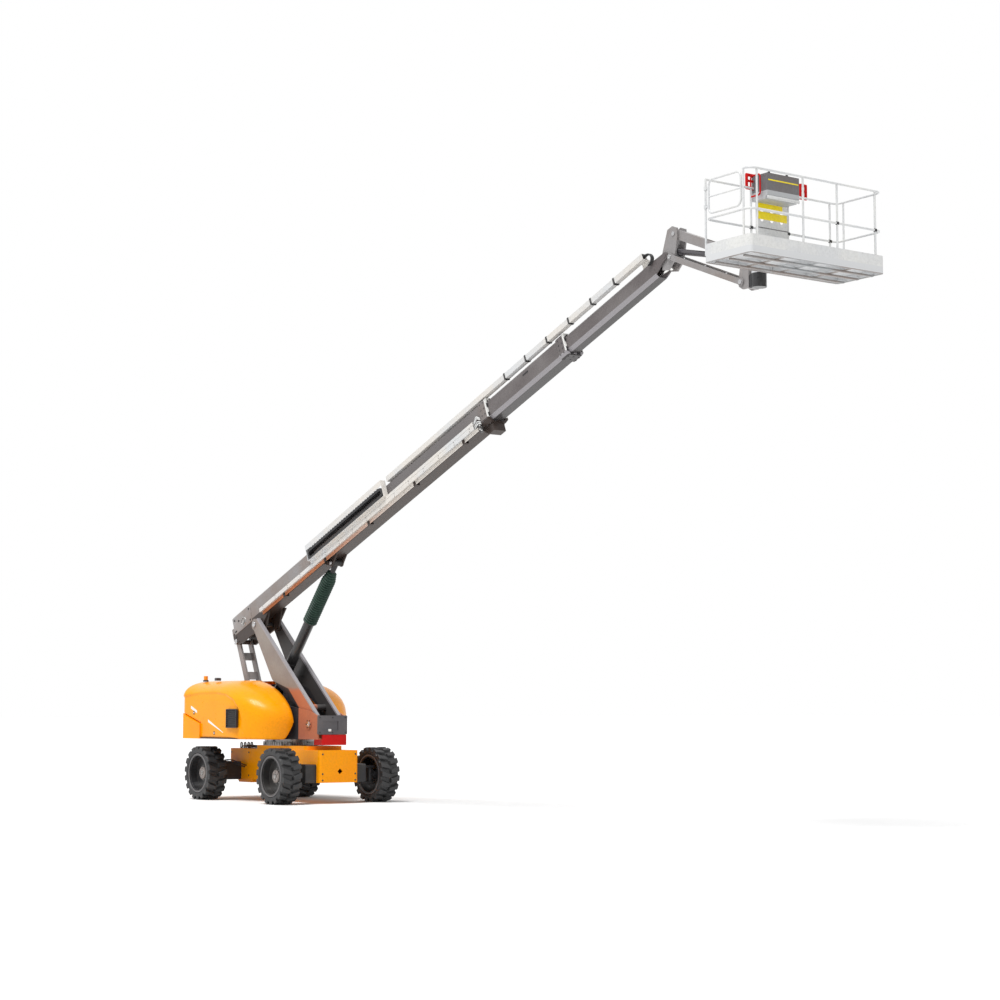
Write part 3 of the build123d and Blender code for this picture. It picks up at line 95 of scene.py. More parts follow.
class Tone(Enum):
    """Colours of the machine, and tones of painted light and shade, as linear red, green and blue."""

    ORANGE = (1.0, 0.362, 0.0)
    ORANGE_FADE = (0.96, 0.32, 0.0)
    BOOM = (0.165, 0.150, 0.148)
    BOOM_FADE = (0.245, 0.205, 0.185)
    DARK = (0.070, 0.066, 0.074)
    DARK_FADE = (0.105, 0.095, 0.098)
    # The next tone also serves as a painted reflection of the orange hood on the riser's near leg.
    SALMON = (0.46, 0.150, 0.080)
    SALMON_FADE = (0.34, 0.125, 0.080)
    BLACK = (0.016, 0.016, 0.018)
    BLACK_FADE = (0.032, 0.031, 0.030)
    WHITE = (0.74, 0.74, 0.72)
    RED = (0.58, 0.008, 0.008)
    RED_FADE = (0.42, 0.006, 0.006)
    GREEN = (0.016, 0.042, 0.030)
    GREEN_FADE = (0.045, 0.085, 0.062)
    YELLOW = (1.0, 0.80, 0.008)
    YELLOW_FADE = (0.95, 0.74, 0.01)
    RUBBER = (0.014, 0.014, 0.015)
    DUST = (0.20, 0.175, 0.145)
    STEEL = (0.52, 0.52, 0.53)
    STEEL_FADE = (0.38, 0.37, 0.36)
    COPPER = (0.54, 0.225, 0.105)
    COPPER_FADE = (0.42, 0.150, 0.07)
    AMBER = (1.0, 0.36, 0.008)
    PALE = (0.86, 0.855, 0.83)
    BOOM_LIGHT = (0.275, 0.262, 0.262)
    BOOM_SIDE = (0.118, 0.102, 0.102)
    # The next tone is painted highlight: a lighter band on the boom sections' lower bevel and along the
    # riser's front edge.
    BEVEL_HIGHLIGHT = (0.33, 0.315, 0.33)
    # The next tone is painted shade: the boom sections' underside and the riser's far leg.
    UNDER_SHADE = (0.062, 0.058, 0.058)
    # The next tone is painted shade on the base boom's lower side and under the pipes, and also the tone of
    # the pipe clamps.
    BROWN = (0.050, 0.037, 0.032)
    LEG = (0.30, 0.268, 0.238)
    AXLE = (0.030, 0.029, 0.033)
    RAIL = (0.66, 0.67, 0.68)
    TRAY = (0.72, 0.685, 0.64)
    BOOM_DARK = (0.150, 0.138, 0.138)
    CASE = (0.46, 0.47, 0.48)
    # The next tone is painted shade for the platform floor's underside and the beams under it.
    FLOOR = (0.30, 0.31, 0.315)
    CONSOLE = (0.17, 0.17, 0.18)

    def rgba(self) -> tuple[float, float, float, float]:
        """The tone with full alpha."""
        return (*self.value, 1.0)


# Shapes worked out as whole arrays


def unit(v: Array) -> Array:
    """The vector or rows of vectors at length one."""
    v = np.asarray(v, float)
    return v / np.maximum(np.linalg.norm(v, axis=-1, keepdims=True), 1e-12)


def boom_at(e: float | Array, y: float | Array, n: float | Array) -> Array:
    """A point of the boom's own frame in the machine's frame.

    The boom pin is the start, e runs along the boom and n across it:
    x = e cos a - n sin a, z = e sin a + n cos a.

    Args:
        e: Distance along the boom.
        y: Distance to the left.
        n: Distance square to the boom, upward.

    Returns:
        The point or points.
    """
    c, s = math.cos(math.radians(BOOM_ANGLE)), math.sin(math.radians(BOOM_ANGLE))
    e, y, n = np.broadcast_arrays(np.asarray(e, float), np.asarray(y, float), np.asarray(n, float))
    return BOOM_PIN + np.stack([e * c - n * s, y, e * s + n * c], axis=-1)


def boom_axes() -> Array:
    """Rows: along the boom, left, and square to it upward."""
    c, s = math.cos(math.radians(BOOM_ANGLE)), math.sin(math.radians(BOOM_ANGLE))
    return np.array([[c, 0, s], [0, 1, 0], [-s, 0, c]], float)


def grid_quads(rows: int, cols: int, wrap_rows: bool = False, wrap_cols: bool = False) -> Array:
    """Quads of a grid of points stored row by row.

    Args:
        rows: Points along the first parameter.
        cols: Points along the second parameter.
        wrap_rows: Whether the last row joins the first.
        wrap_cols: Whether the last column joins the first.

    Returns:
        Corner indices, four a quad.
    """
    i = np.arange(rows if wrap_rows else rows - 1)[:, None]
    j = np.arange(cols if wrap_cols else cols - 1)[None, :]
    i2, j2 = (i + 1) % rows, (j + 1) % cols
    quads = np.stack(np.broadcast_arrays(i * cols + j, i * cols + j2, i2 * cols + j2, i2 * cols + j), axis=-1)
    return quads.reshape(-1, 4)


def joined(shapes: list[Shape]) -> Shape:
    """Several shapes as one list of points and quads.

    Args:
        shapes: Points and quads of each.

    Returns:
        Points and quads.
    """
    counts = np.cumsum([0] + [len(v) for v, _ in shapes])
    points = np.concatenate([v for v, _ in shapes])
    quads = np.concatenate([f + c for (_, f), c in zip(shapes, counts)])
    return points, quads


def turned(profile: Array, origin: Array, axis: Array, sides: int = 24, closed: bool = False) -> Shape:
    """A profile of radius and height turned round an axis: point = origin + h axis + r (u cos t + v sin t).

    Args:
        profile: Rows of radius and height along the axis.
        origin: Start of the axis.
        axis: Direction of the axis.
        sides: Steps round the turn.
        closed: Whether the profile is a loop.

    Returns:
        Points and quads.
    """
    axis = unit(np.asarray(axis, float))
    helper = np.array([0.0, 0.0, 1.0]) if abs(axis[2]) < 0.9 else np.array([1.0, 0.0, 0.0])
    u = unit(np.cross(helper, axis))
    v = np.cross(axis, u)
    profile = np.asarray(profile, float)
    t = np.linspace(0, 2 * np.pi, sides, endpoint=False)
    ring = np.cos(t)[:, None] * u + np.sin(t)[:, None] * v
    points = np.asarray(origin) + profile[:, None, 1:2] * axis + profile[:, None, 0:1] * ring[None]
    quads = grid_quads(len(profile), sides, closed, True)[:, ::-1]
    return points.reshape(-1, 3), quads


def tube(path: Array, radius: float, sides: int = 10, up: Triple = UP) -> Shape:
    """A round section carried along a path, closed by caps that shrink to the path's ends.

    The section at each point spans the side and the normal found from the tangent and a fixed up direction.

    Args:
        path: Points of the path.
        radius: Radius of the section.
        sides: Steps round the section.
        up: Direction that is never along the path.

    Returns:
        Points and quads.
    """
    path = np.asarray(path, float)
    tangent = unit(np.gradient(path, axis=0))
    side = unit(np.cross(tangent, np.asarray(up, float)))
    normal = np.cross(side, tangent)
    t = np.linspace(0, 2 * np.pi, sides, endpoint=False)
    ring = np.cos(t)[None, :, None] * side[:, None] + np.sin(t)[None, :, None] * normal[:, None]
    body = path[:, None] + radius * ring
    first = np.repeat(path[:1, None], sides, axis=1) + 0.02 * radius * ring[:1]
    last = np.repeat(path[-1:, None], sides, axis=1) + 0.02 * radius * ring[-1:]
    points = np.concatenate([first, body, last])
    return points.reshape(-1, 3), grid_quads(len(points), sides, False, True)


def smooth_path(points: list, steps: int = 60) -> Array:
    """A curve through points: each coordinate is a cubic of the distance, with central slopes.

    Args:
        points: Points that the curve goes through.
        steps: Points of the result.

    Returns:
        Points along the curve.
    """
    p = np.asarray(points, float)
    d = np.concatenate([[0], np.cumsum(np.linalg.norm(np.diff(p, axis=0), axis=1))])
    m = np.gradient(p, d, axis=0)
    s = np.linspace(0, d[-1], steps)
    k = np.clip(np.searchsorted(d, s, side="right") - 1, 0, len(d) - 2)
    h = (d[k + 1] - d[k])[:, None]
    t = ((s - d[k])[:, None]) / h
    a, b = 2 * t**3 - 3 * t**2 + 1, t**3 - 2 * t**2 + t
    c, e = -2 * t**3 + 3 * t**2, t**3 - t**2
    return a * p[k] + b * h * m[k] + c * p[k + 1] + e * h * m[k + 1]


def soft_box(
    low: Array, high: Array, edge: float, axes: Array | None = None, origin: Array | None = None
) -> Shape:
    """A box with rounded edges: a rounded rectangle carried through seven levels that draw in at both ends.

    Args:
        low: Lowest corner in the box's own axes.
        high: Highest corner in the box's own axes.
        edge: Radius of the edges.
        axes: Rows of the box's axes, the machine's own where left out.
        origin: Start of the box's axes.

    Returns:
        Points and quads.
    """
    low, high = np.asarray(low, float), np.asarray(high, float)
    half, mid = (high - low) / 2, (high + low) / 2
    edge = min(edge, *(half * 0.95))
    t = np.linspace(0, 2 * np.pi, 16, endpoint=False) + np.pi / 16
    a = np.linspace(-np.pi / 2, 0, 4)
    draw = np.concatenate([[0.0], np.cos(a), np.cos(a)[::-1], [0.0]])
    rise = half[2] - edge - edge * np.sin(a)
    level = np.concatenate([[-half[2]], -rise, rise[::-1], [half[2]]])
    flat = np.array([0.0] + [1.0] * 8 + [0.0])[:, None]
    x = np.sign(np.cos(t)) * (half[0] - edge) * flat + edge * draw[:, None] * np.cos(t)
    y = np.sign(np.sin(t)) * (half[1] - edge) * flat + edge * draw[:, None] * np.sin(t)
    z = np.broadcast_to(level[:, None], x.shape)
    points = np.stack([x, y, z], axis=-1).reshape(-1, 3) + mid
    if axes is not None:
        points = points @ np.asarray(axes, float)
    if origin is not None:
        points = points + np.asarray(origin, float)
    return points, grid_quads(len(level), len(t), False, True)


def studs(places: Array, axis: Array, radius: float, height: float) -> Shape:
    """Hexagon bolt heads with a washer, one at each place: one turned profile copied by broadcasting.

    Args:
        places: Seats of the heads.
        axis: Direction in which the heads stand.
        radius: Half of the head's width over corners.
        height: Height of the head.

    Returns:
        Points and quads.
    """
    places = np.atleast_2d(np.asarray(places, float))
    r, h = radius, height
    washer = [[0.0, 0], [1.35 * r, 0], [1.35 * r, 0.22 * h], [0.6 * r, 0.22 * h]]
    head = [[0.9 * r, 0.2 * h], [r, 0.24 * h], [r, 0.86 * h], [0.86 * r, h], [0.0, h]]
    points, quads = joined([turned(washer, np.zeros(3), axis, 12), turned(head, np.zeros(3), axis, 6)])
    all_points = (places[:, None] + points[None]).reshape(-1, 3)
    shift = (np.arange(len(places)) * len(points))[:, None, None]
    return all_points, (quads[None] + shift).reshape(-1, 4)


def capsule_pin(place: Array, axis: Array, radius: float, height: float) -> Shape:
    """A pin's head: a turned disc with a rounded rim and a sunk middle.

    Args:
        place: Seat of the head.
        axis: Direction in which it stands.
        radius: Radius of the disc.
        height: Height of the disc.

    Returns:
        Points and quads.
    """
    r, h = radius, height
    rim = [[r, 0.0], [r, 0.72 * h], [0.97 * r, 0.9 * h], [0.88 * r, h]]
    return turned(rim + [[0.42 * r, h], [0.35 * r, 0.72 * h], [0.0, 0.72 * h]], place, axis)


def pin_pair(centre: Array, reach: float, radius: float, height: float) -> list[Shape]:
    """A pin's two heads, one on either side of its middle."""
    middle = np.asarray(centre, float)
    return [capsule_pin(middle + (0, s * reach, 0), (0, s, 0), radius, height) for s in SIDES]


def ring_bead(centre: Array, axis: Array, radius: float, section: float, sides: int = 64) -> Shape:
    """A round bead bent into a ring: a circle of the section's radius turned round the axis.

    Args:
        centre: Middle of the ring.
        axis: Direction square to the ring.
        radius: Radius of the ring.
        section: Radius of the bead.
        sides: Steps round the ring.

    Returns:
        Points and quads.
    """
    t = np.linspace(0, 2 * np.pi, 8, endpoint=False)
    profile = np.stack([radius + section * np.cos(t), section * np.sin(t)], axis=-1)
    return turned(profile, centre, axis, sides, closed=True)


def ease(a: Array, low: float, high: float) -> Array:
    """Smooth step from nothing at low to one at high."""
    q = np.clip((a - low) / (high - low), 0, 1)
    return q * q * (3 - 2 * q)


def hose(points: Array, radius: float, steps: int = 40, up: Triple = LEFT) -> Shape:
    """A bent hose through points."""
    return tube(smooth_path(points, steps), radius, 10, up)


def boom_run(run: list[tuple[float, float]], y: float) -> Array:
    """Points from pairs of distances along the boom and square to it."""
    e, n = np.array(run).T
    return boom_at(e, y, n)


def boom_box(low: Triple, high: Triple, edge: float) -> Shape:
    """A soft box in the boom's own frame."""
    return soft_box(low, high, edge, boom_axes(), BOOM_PIN)


def side_box(side: int, low: Triple, high: Triple, edge: float) -> Shape:
    """A soft box given for the left, on the side that is named."""
    y0, y1 = sorted((side * low[1], side * high[1]))
    return soft_box((low[0], y0, low[2]), (high[0], y1, high[2]), edge)


# Shader graphs and shared effects


class Graph:
    """A node tree with short calls for the nodes that the finishes use."""

    def __init__(self, tree: bpy.types.NodeTree) -> None:
        """Keeps the tree."""
        self.tree = tree

    def add(self, kind: str, values: dict | None = None, **settings: object) -> bpy.types.Node:
        """A new node.

        Args:
            kind: The node's type name.
            values: Input name or number to a constant or to another node's output.
            settings: The node's own settings.

        Returns:
            The node.
        """
        node = self.tree.nodes.new(kind)
        for name, value in settings.items():
            setattr(node, name, value)
        for name, value in (values or {}).items():
            if isinstance(value, Socket):
                self.tree.links.new(value, node.inputs[name])
            else:
                node.inputs[name].default_value = value
        return node

    def calc(self, operation: str, a: object, b: object = 0.0, clamp: bool = False) -> Socket:
        """One step of arithmetic on two values."""
        return self.add("ShaderNodeMath", {0: a, 1: b}, operation=operation, use_clamp=clamp).outputs[0]

    def times(self, a: object, b: object, clamp: bool = False) -> Socket:
        """The product of two values."""
        return self.calc("MULTIPLY", a, b, clamp)

    def plus(self, a: object, b: object, clamp: bool = False) -> Socket:
        """The sum of two values."""
        return self.calc("ADD", a, b, clamp)

    def blend(self, factor: object, a: object, b: object, how: str = "MIX") -> Socket:
        """Two colours mixed by a factor."""
        node = self.add("ShaderNodeMix", {0: factor, 6: a, 7: b}, data_type="RGBA", blend_type=how)
        return node.outputs[2]

    def span(self, value: object, low: float, high: float, start: float = 0.0, stop: float = 1.0) -> Socket:
        """A value carried smoothly from one range to another."""
        values = {0: value, 1: low, 2: high, 3: start, 4: stop}
        return self.add("ShaderNodeMapRange", values, interpolation_type="SMOOTHSTEP").outputs[0]

    def band(self, value: object, low: float, high: float, soft: float = 0.001) -> Socket:
        """One inside a range of a value and nothing outside it."""
        rise = self.span(value, low - soft, low + soft)
        return self.times(rise, self.span(value, high - soft, high + soft, 1.0, 0.0))

    def noise(self, place: Socket, scale: object, detail: float = 3.0, rough: float = 0.5) -> Socket:
        """Smooth noise over the object's coordinates."""
        values = {"Vector": place, "Scale": scale, "Detail": detail, "Roughness": rough}
        return self.add("ShaderNodeTexNoise", values).outputs[0]

    def stretched(self, place: Socket, scale: Triple) -> Socket:
        """Coordinates drawn out along their axes."""
        return self.add("ShaderNodeMapping", {"Vector": place, "Scale": scale}).outputs[0]

    def dot(self, place: Socket, along: Array, start: Array) -> Socket:
        """Distance of a place from a start, measured along a direction."""
        node = self.add("ShaderNodeVectorMath", {0: place, 1: along.tolist()}, operation="DOT_PRODUCT")
        return self.calc("SUBTRACT", node.outputs["Value"], float(np.dot(along, start)))

    def parts(self, place: Socket) -> tuple[Socket, ...]:
        """The three coordinates one by one."""
        return tuple(self.add("ShaderNodeSeparateXYZ", {0: place}).outputs)


VEC, COL, NUM = "NodeSocketVector", "NodeSocketColor", "NodeSocketFloat"


class Effect:
    """A shared effect: a node group with named sockets, built once."""

    name = "effect"
    takes: tuple[tuple[str, str, object], ...] = ()
    gives = (("Color", COL), ("Roughness", NUM), ("Height", NUM))

    def group(self) -> bpy.types.NodeTree:
        """The effect's group, made at the first call."""
        return bpy.data.node_groups.get(self.name) or self.make()

    def make(self) -> bpy.types.NodeTree:
        """Builds the group with its sockets and its inner nodes.

        Returns:
            The group.
        """
        tree = bpy.data.node_groups.new(self.name, "ShaderNodeTree")
        tree.interface.new_socket("Place", in_out="INPUT", socket_type=VEC)
        for label, kind, value in self.takes:
            tree.interface.new_socket(label, in_out="INPUT", socket_type=kind).default_value = value
        for label, kind in self.gives:
            tree.interface.new_socket(label, in_out="OUTPUT", socket_type=kind)
        start, stop = tree.nodes.new("NodeGroupInput"), tree.nodes.new("NodeGroupOutput")
        for label, value in self.wire(Graph(tree), start.outputs).items():
            tree.links.new(value, stop.inputs[label])
        return tree

    def wire(self, graph: Graph, given: Inputs) -> dict[str, Socket]:
        """The effect's own nodes, by the name of each output."""
        raise NotImplementedError


class Weathering(Effect):
    """Paint that has faded in clouds, with road dust low down, rain streaks and small chips."""

    name = "weathered_coat"
    takes = (
        ("Base", COL, (1, 1, 1, 1)), ("Faded", COL, (1, 1, 1, 1)), ("Dirt", COL, (0.1, 0.09, 0.08, 1)),
        ("Cloud Scale", NUM, 1.2), ("Dirt Amount", NUM, 0.3), ("Streak Amount", NUM, 0.3),
        ("Chip Amount", NUM, 0.3), ("Gloss Roughness", NUM, 0.3),
    )

    def wire(self, graph: Graph, given: Inputs) -> dict[str, Socket]:
        """Clouds, dirt, streaks and chips from noise at four sizes.

        Args:
            graph: The group's graph.
            given: The group's inputs.

        Returns:
            Outputs by name.
        """
        place = given["Place"]
        fade = graph.span(graph.noise(place, given["Cloud Scale"], 4.0, 0.55), 0.38, 0.68)
        colour = graph.blend(fade, given["Base"], given["Faded"])
        grain = graph.noise(place, 26.0, 4.0, 0.6)
        tint = graph.span(grain, 0.3, 0.7, 0.93, 1.04)
        grey = graph.add("ShaderNodeCombineColor", {0: tint, 1: tint, 2: tint}).outputs[0]
        colour = graph.blend(1.0, colour, grey, "MULTIPLY")
        height = graph.span(graph.parts(place)[2], 0.35, 1.25, 1.0, 0.0)
        reach = graph.plus(graph.noise(place, 4.5, 7.0, 0.66), graph.times(height, 0.10))
        dirt = graph.times(graph.span(reach, 0.52, 0.74), given["Dirt Amount"], True)
        run = graph.noise(graph.stretched(place, (13.0, 13.0, 0.8)), 1.0, 5.0, 0.6)
        streak = graph.times(graph.span(run, 0.55, 0.78), given["Streak Amount"], True)
        speck = graph.span(graph.noise(place, 85.0, 2.0, 0.5), 0.66, 0.7)
        gate = graph.span(graph.noise(place, 6.0, 3.0), 0.5, 0.66)
        chip = graph.times(graph.times(speck, gate), given["Chip Amount"], True)
        mask = graph.calc("MAXIMUM", graph.calc("MAXIMUM", dirt, streak), chip)
        rough = graph.plus(given["Gloss Roughness"], graph.times(mask, 0.35))
        peel = graph.times(graph.noise(place, 240.0, 2.0), 0.35)
        return {
            "Color": graph.blend(mask, colour, given["Dirt"]),
            "Roughness": graph.plus(rough, graph.span(grain, 0.3, 0.7, -0.03, 0.05), True),
            "Height": graph.plus(peel, graph.times(mask, -0.4)),
        }


class Dusting(Effect):
    """Grain of rubber and moulded plastic with dust that lies in its low places."""

    name = "dusty_grain"
    takes = (
        ("Base", COL, (0.02, 0.02, 0.02, 1)), ("Dust", COL, (0.2, 0.18, 0.15, 1)),
        ("Grain Scale", NUM, 160.0), ("Dust Amount", NUM, 0.3),
    )

    def wire(self, graph: Graph, given: Inputs) -> dict[str, Socket]:
        """Fine grain from noise, with broad patches of dust over it.

        Args:
            graph: The group's graph.
            given: The group's inputs.

        Returns:
            Outputs by name.
        """
        place = given["Place"]
        grain = graph.noise(place, given["Grain Scale"], 3.0, 0.6)
        broad = graph.span(graph.noise(place, 5.0, 6.0, 0.65), 0.42, 0.72)
        low = graph.plus(graph.span(grain, 0.62, 0.38), 0.4)
        dust = graph.times(graph.times(broad, low), given["Dust Amount"], True)
        colour = graph.blend(dust, given["Base"], given["Dust"])
        return {"Color": colour, "Roughness": graph.span(dust, 0.0, 0.6, 0.52, 0.88), "Height": grain}


class Brushing(Effect):
    """Worked metal: fine lines along one axis, with dull patches of oxide."""

    name = "worked_metal"
    takes = (
        ("Base", COL, (0.5, 0.5, 0.5, 1)), ("Oxide", COL, (0.3, 0.3, 0.3, 1)),
        ("Oxide Amount", NUM, 0.5), ("Polish Roughness", NUM, 0.2),
    )

    def wire(self, graph: Graph, given: Inputs) -> dict[str, Socket]:
        """Lines from noise drawn out along one axis, patches from broad noise.

        Args:
            graph: The group's graph.
            given: The group's inputs.

        Returns:
            Outputs by name.
        """
        place = given["Place"]
        lines = graph.noise(graph.stretched(place, (20.0, 420.0, 420.0)), 1.0, 2.0)
        patches = graph.span(graph.noise(place, 8.0, 6.0, 0.65), 0.45, 0.7)
        oxide = graph.times(patches, given["Oxide Amount"], True)
        colour = graph.blend(oxide, given["Base"], given["Oxide"])
        rough = graph.plus(given["Polish Roughness"], graph.times(oxide, 0.3))
        rough = graph.plus(rough, graph.span(lines, 0.3, 0.7, 0.0, 0.08), True)
        return {"Color": colour, "Roughness": rough, "Height": graph.times(lines, 0.3)}


@dataclass
class Canvas:
    """A finish's colour on its way to the shader, with the place that marks are measured by."""

    graph: Graph
    place: Socket
    colour: Socket

    def lay(self, mask: Socket, tone: Tone) -> None:
        """Lays a tone over the colour where the mask is one."""
        self.colour = self.graph.blend(mask, self.colour, tone.rgba())

    def boom(self) -> tuple[Socket, Socket]:
        """Distances along the boom and square to it."""
        along, _, square = boom_axes()
        return self.graph.dot(self.place, along, BOOM_PIN), self.graph.dot(self.place, square, BOOM_PIN)


@dataclass(frozen=True)
class Finish:
    """What every finish has: a name, a base tone, a bump and a look for the Principled shader."""

    name: str
    base: Tone = Tone.STEEL
    bump: float = 0.15
    depth: float = 0.0015

    def material(self) -> bpy.types.Material:
        """The finish as a material, made at the first call."""
        return bpy.data.materials.get("finish_" + self.name) or self.make()

    def make(self) -> bpy.types.Material:
        """Builds the material round the finish's own effect.

        Returns:
            The material.
        """
        mat = bpy.data.materials.new("finish_" + self.name)
        mat.use_nodes = True
        mat.node_tree.nodes.clear()
        graph = Graph(mat.node_tree)
        place = graph.add("ShaderNodeTexCoord").outputs["Object"]
        effect, values = self.effect()
        values = {"Place": place, "Base": self.base.rgba(), **values}
        look = graph.add("ShaderNodeGroup", values, node_tree=effect.group()).outputs
        canvas = Canvas(graph, place, look["Color"])
        self.marks(canvas)
        relief = {"Strength": self.bump, "Distance": self.depth, "Height": look["Height"]}
        normal = graph.add("ShaderNodeBump", relief).outputs[0]
        surface = {"Base Color": canvas.colour, "Roughness": look["Roughness"], "Normal": normal}
        shader = graph.add("ShaderNodeBsdfPrincipled", {**surface, **self.shine()})
        graph.add("ShaderNodeOutputMaterial", {0: shader.outputs[0]})
        mat.diffuse_color = self.base.rgba()
        return mat

    def shine(self) -> dict[str, float]:
        """Constants of the Principled shader."""
        raise NotImplementedError

    def effect(self) -> tuple[Effect, dict[str, object]]:
        """The shared effect and the values of its sockets, apart from place and base."""
        raise NotImplementedError

    def marks(self, canvas: Canvas) -> None:
        """Painted marks over the finish, none where a finish has none."""


@dataclass(frozen=True)
class Paint(Finish):
    """Sprayed paint: base and faded tone, dirt, streaks, chips and a clear gloss."""

    base: Tone = Tone.ORANGE
    faded: Tone = Tone.ORANGE_FADE
    cloud: float = 1.2
    dirt: float = 0.25
    streak: float = 0.2
    chip: float = 0.3
    gloss: float = 0.3
    coat: float = 0.0
    coat_rough: float = 0.12
    specular: float = 0.5

    def shine(self) -> dict[str, float]:
        """A thin clear coat."""
        coat = {"Coat Weight": self.coat, "Coat Roughness": self.coat_rough}
        return {**coat, "Specular IOR Level": self.specular}

    def effect(self) -> tuple[Effect, dict[str, object]]:
        """Weathered paint."""
        return Weathering(), {
            "Faded": self.faded.rgba(), "Dirt": Tone.DUST.rgba(), "Cloud Scale": self.cloud,
            "Dirt Amount": self.dirt, "Streak Amount": self.streak, "Chip Amount": self.chip,
            "Gloss Roughness": self.gloss,
        }


@dataclass(frozen=True)
class BoomPaint(Paint):
    """Boom paint with pale bands across the boom, and long stretches along it of painted shade and painted
    highlight.
    """

    bands: tuple[tuple[float, float, Tone, float], ...] = ()
    light_and_shade_zones: tuple[tuple[float, float, Tone, float], ...] = ()
    band_low: float = 0.10

    def marks(self, canvas: Canvas) -> None:
        """Bands by the distance along the boom, and painted shade and painted highlight by the distance
        square to it.

        Args:
            canvas: The colour so far.
        """
        graph = canvas.graph
        along, across = canvas.boom()
        above = graph.span(across, self.band_low, self.band_low + 0.004)
        for low, high, tone, soft in self.bands:
            canvas.lay(graph.times(graph.band(along, low, high, soft), above), tone)
        # Painted light: darker lower side and underside as painted shade, lighter lower bevel as painted
        # highlight.
        for low, high, tone, soft in self.light_and_shade_zones:
            canvas.lay(graph.band(across, low, high, soft), tone)


class Axis(Enum):
    """Axes of the shared frame."""

    X = 0
    Z = 2


@dataclass(frozen=True)
class ZonePaint(Paint):
    """Paint with one straight zone of another tone, between two places on one axis."""

    axis: Axis = Axis.Z
    low: float = 0.0
    high: float = 0.0
    zone: Tone = Tone.AXLE

    def marks(self, canvas: Canvas) -> None:
        """The zone by its axis."""
        value = canvas.graph.parts(canvas.place)[self.axis.value]
        canvas.lay(canvas.graph.band(value, self.low, self.high), self.zone)


@dataclass(frozen=True)
class LegPaint(Paint):
    """Riser paint: a painted hood reflection near the near leg's foot, a painted edge highlight, and painted
    shade by the low edge and on the far leg.
    """

    hood_reflection_top: float = 2.12
    head_rise: float = 0.160
    foot_rise: float = 0.270
    edge: float = 0.034
    leg_shade_at: float = 1.060
    leg_shade_slope: float = 0.510
    leg_shade_w: float = 0.050
    leg_shade_top: float = 1.62

    def marks(self, canvas: Canvas) -> None:
        """Painted reflection by height on the near side, painted highlight and shade strip by the distance
        from the middle line.

        Args:
            canvas: The colour so far.
        """
        graph, place = canvas.graph, canvas.place
        run = BOOM_PIN - RISER_PIN
        along = unit(run)
        far = graph.dot(place, along, RISER_PIN)
        front = graph.dot(place, np.array([along[2], 0.0, -along[0]]), RISER_PIN)
        # A strip of painted shade behind the leg's lower edge, widening past a point along the leg.
        past = graph.calc("MAXIMUM", graph.calc("SUBTRACT", far, self.leg_shade_at), 0.0)
        behind = graph.calc("SUBTRACT", graph.times(front, -1.0), graph.times(past, self.leg_shade_slope))
        leg_shade = graph.span(behind, self.leg_shade_w, self.leg_shade_w + 0.006)
        share = graph.calc("DIVIDE", far, float(np.linalg.norm(run)))
        rise = graph.plus(graph.times(share, self.head_rise - self.foot_rise), self.foot_rise)
        depth = graph.calc("SUBTRACT", rise, front)
        _, y, z = graph.parts(place)
        # Painted reflection of the orange hood, below a ragged height on the near leg.
        ragged = graph.plus(z, graph.times(graph.noise(place, 3.0), 0.12))
        hood_reflection = graph.span(ragged, self.hood_reflection_top, self.hood_reflection_top + 0.10, 1.0, 0.0)
        # Painted shade over the far leg.
        canvas.lay(graph.span(y, -0.02, 0.02), Tone.UNDER_SHADE)
        canvas.lay(graph.times(hood_reflection, graph.span(y, -0.02, 0.02, 1.0, 0.0)), Tone.SALMON)
        # The strip of painted shade, only up to a point along the leg.
        low_part = graph.span(far, self.leg_shade_top, self.leg_shade_top + 0.04, 1.0, 0.0)
        canvas.lay(graph.times(leg_shade, low_part), Tone.AXLE)
        # Painted highlight along the front edge.
        canvas.lay(graph.span(depth, self.edge, self.edge + 0.004, 1.0, 0.0), Tone.BEVEL_HIGHLIGHT)


@dataclass(frozen=True)
class HoodPaint(Paint):
    """Hood paint with one pale flash that runs down toward the nose, broken in two."""

    fall: float = 0.372
    level: float = 1.090
    side_y: float = 1.10
    flashes: tuple[tuple[float, ...], ...] = ((-1.83, -1.58, 0.030, 0.026), (-1.13, -0.53, 0.026, 0.006))

    def marks(self, canvas: Canvas) -> None:
        """Flashes where z plus a share of x is near one level, thinning along x.

        Args:
            canvas: The colour so far.
        """
        graph = canvas.graph
        x, y, z = graph.parts(canvas.place)
        side = graph.span(graph.calc("ABSOLUTE", y), self.side_y, self.side_y + 0.02)
        slant = graph.plus(z, graph.times(x, self.fall))
        away = graph.calc("ABSOLUTE", graph.calc("SUBTRACT", slant, self.level))
        for low, high, wide, narrow in self.flashes:
            half = graph.add("ShaderNodeMapRange", {0: x, 1: low, 2: high, 3: wide, 4: narrow}).outputs[0]
            inside = graph.times(graph.calc("LESS_THAN", away, half), graph.band(x, low, high, 0.002))
            canvas.lay(graph.times(inside, side), Tone.PALE)


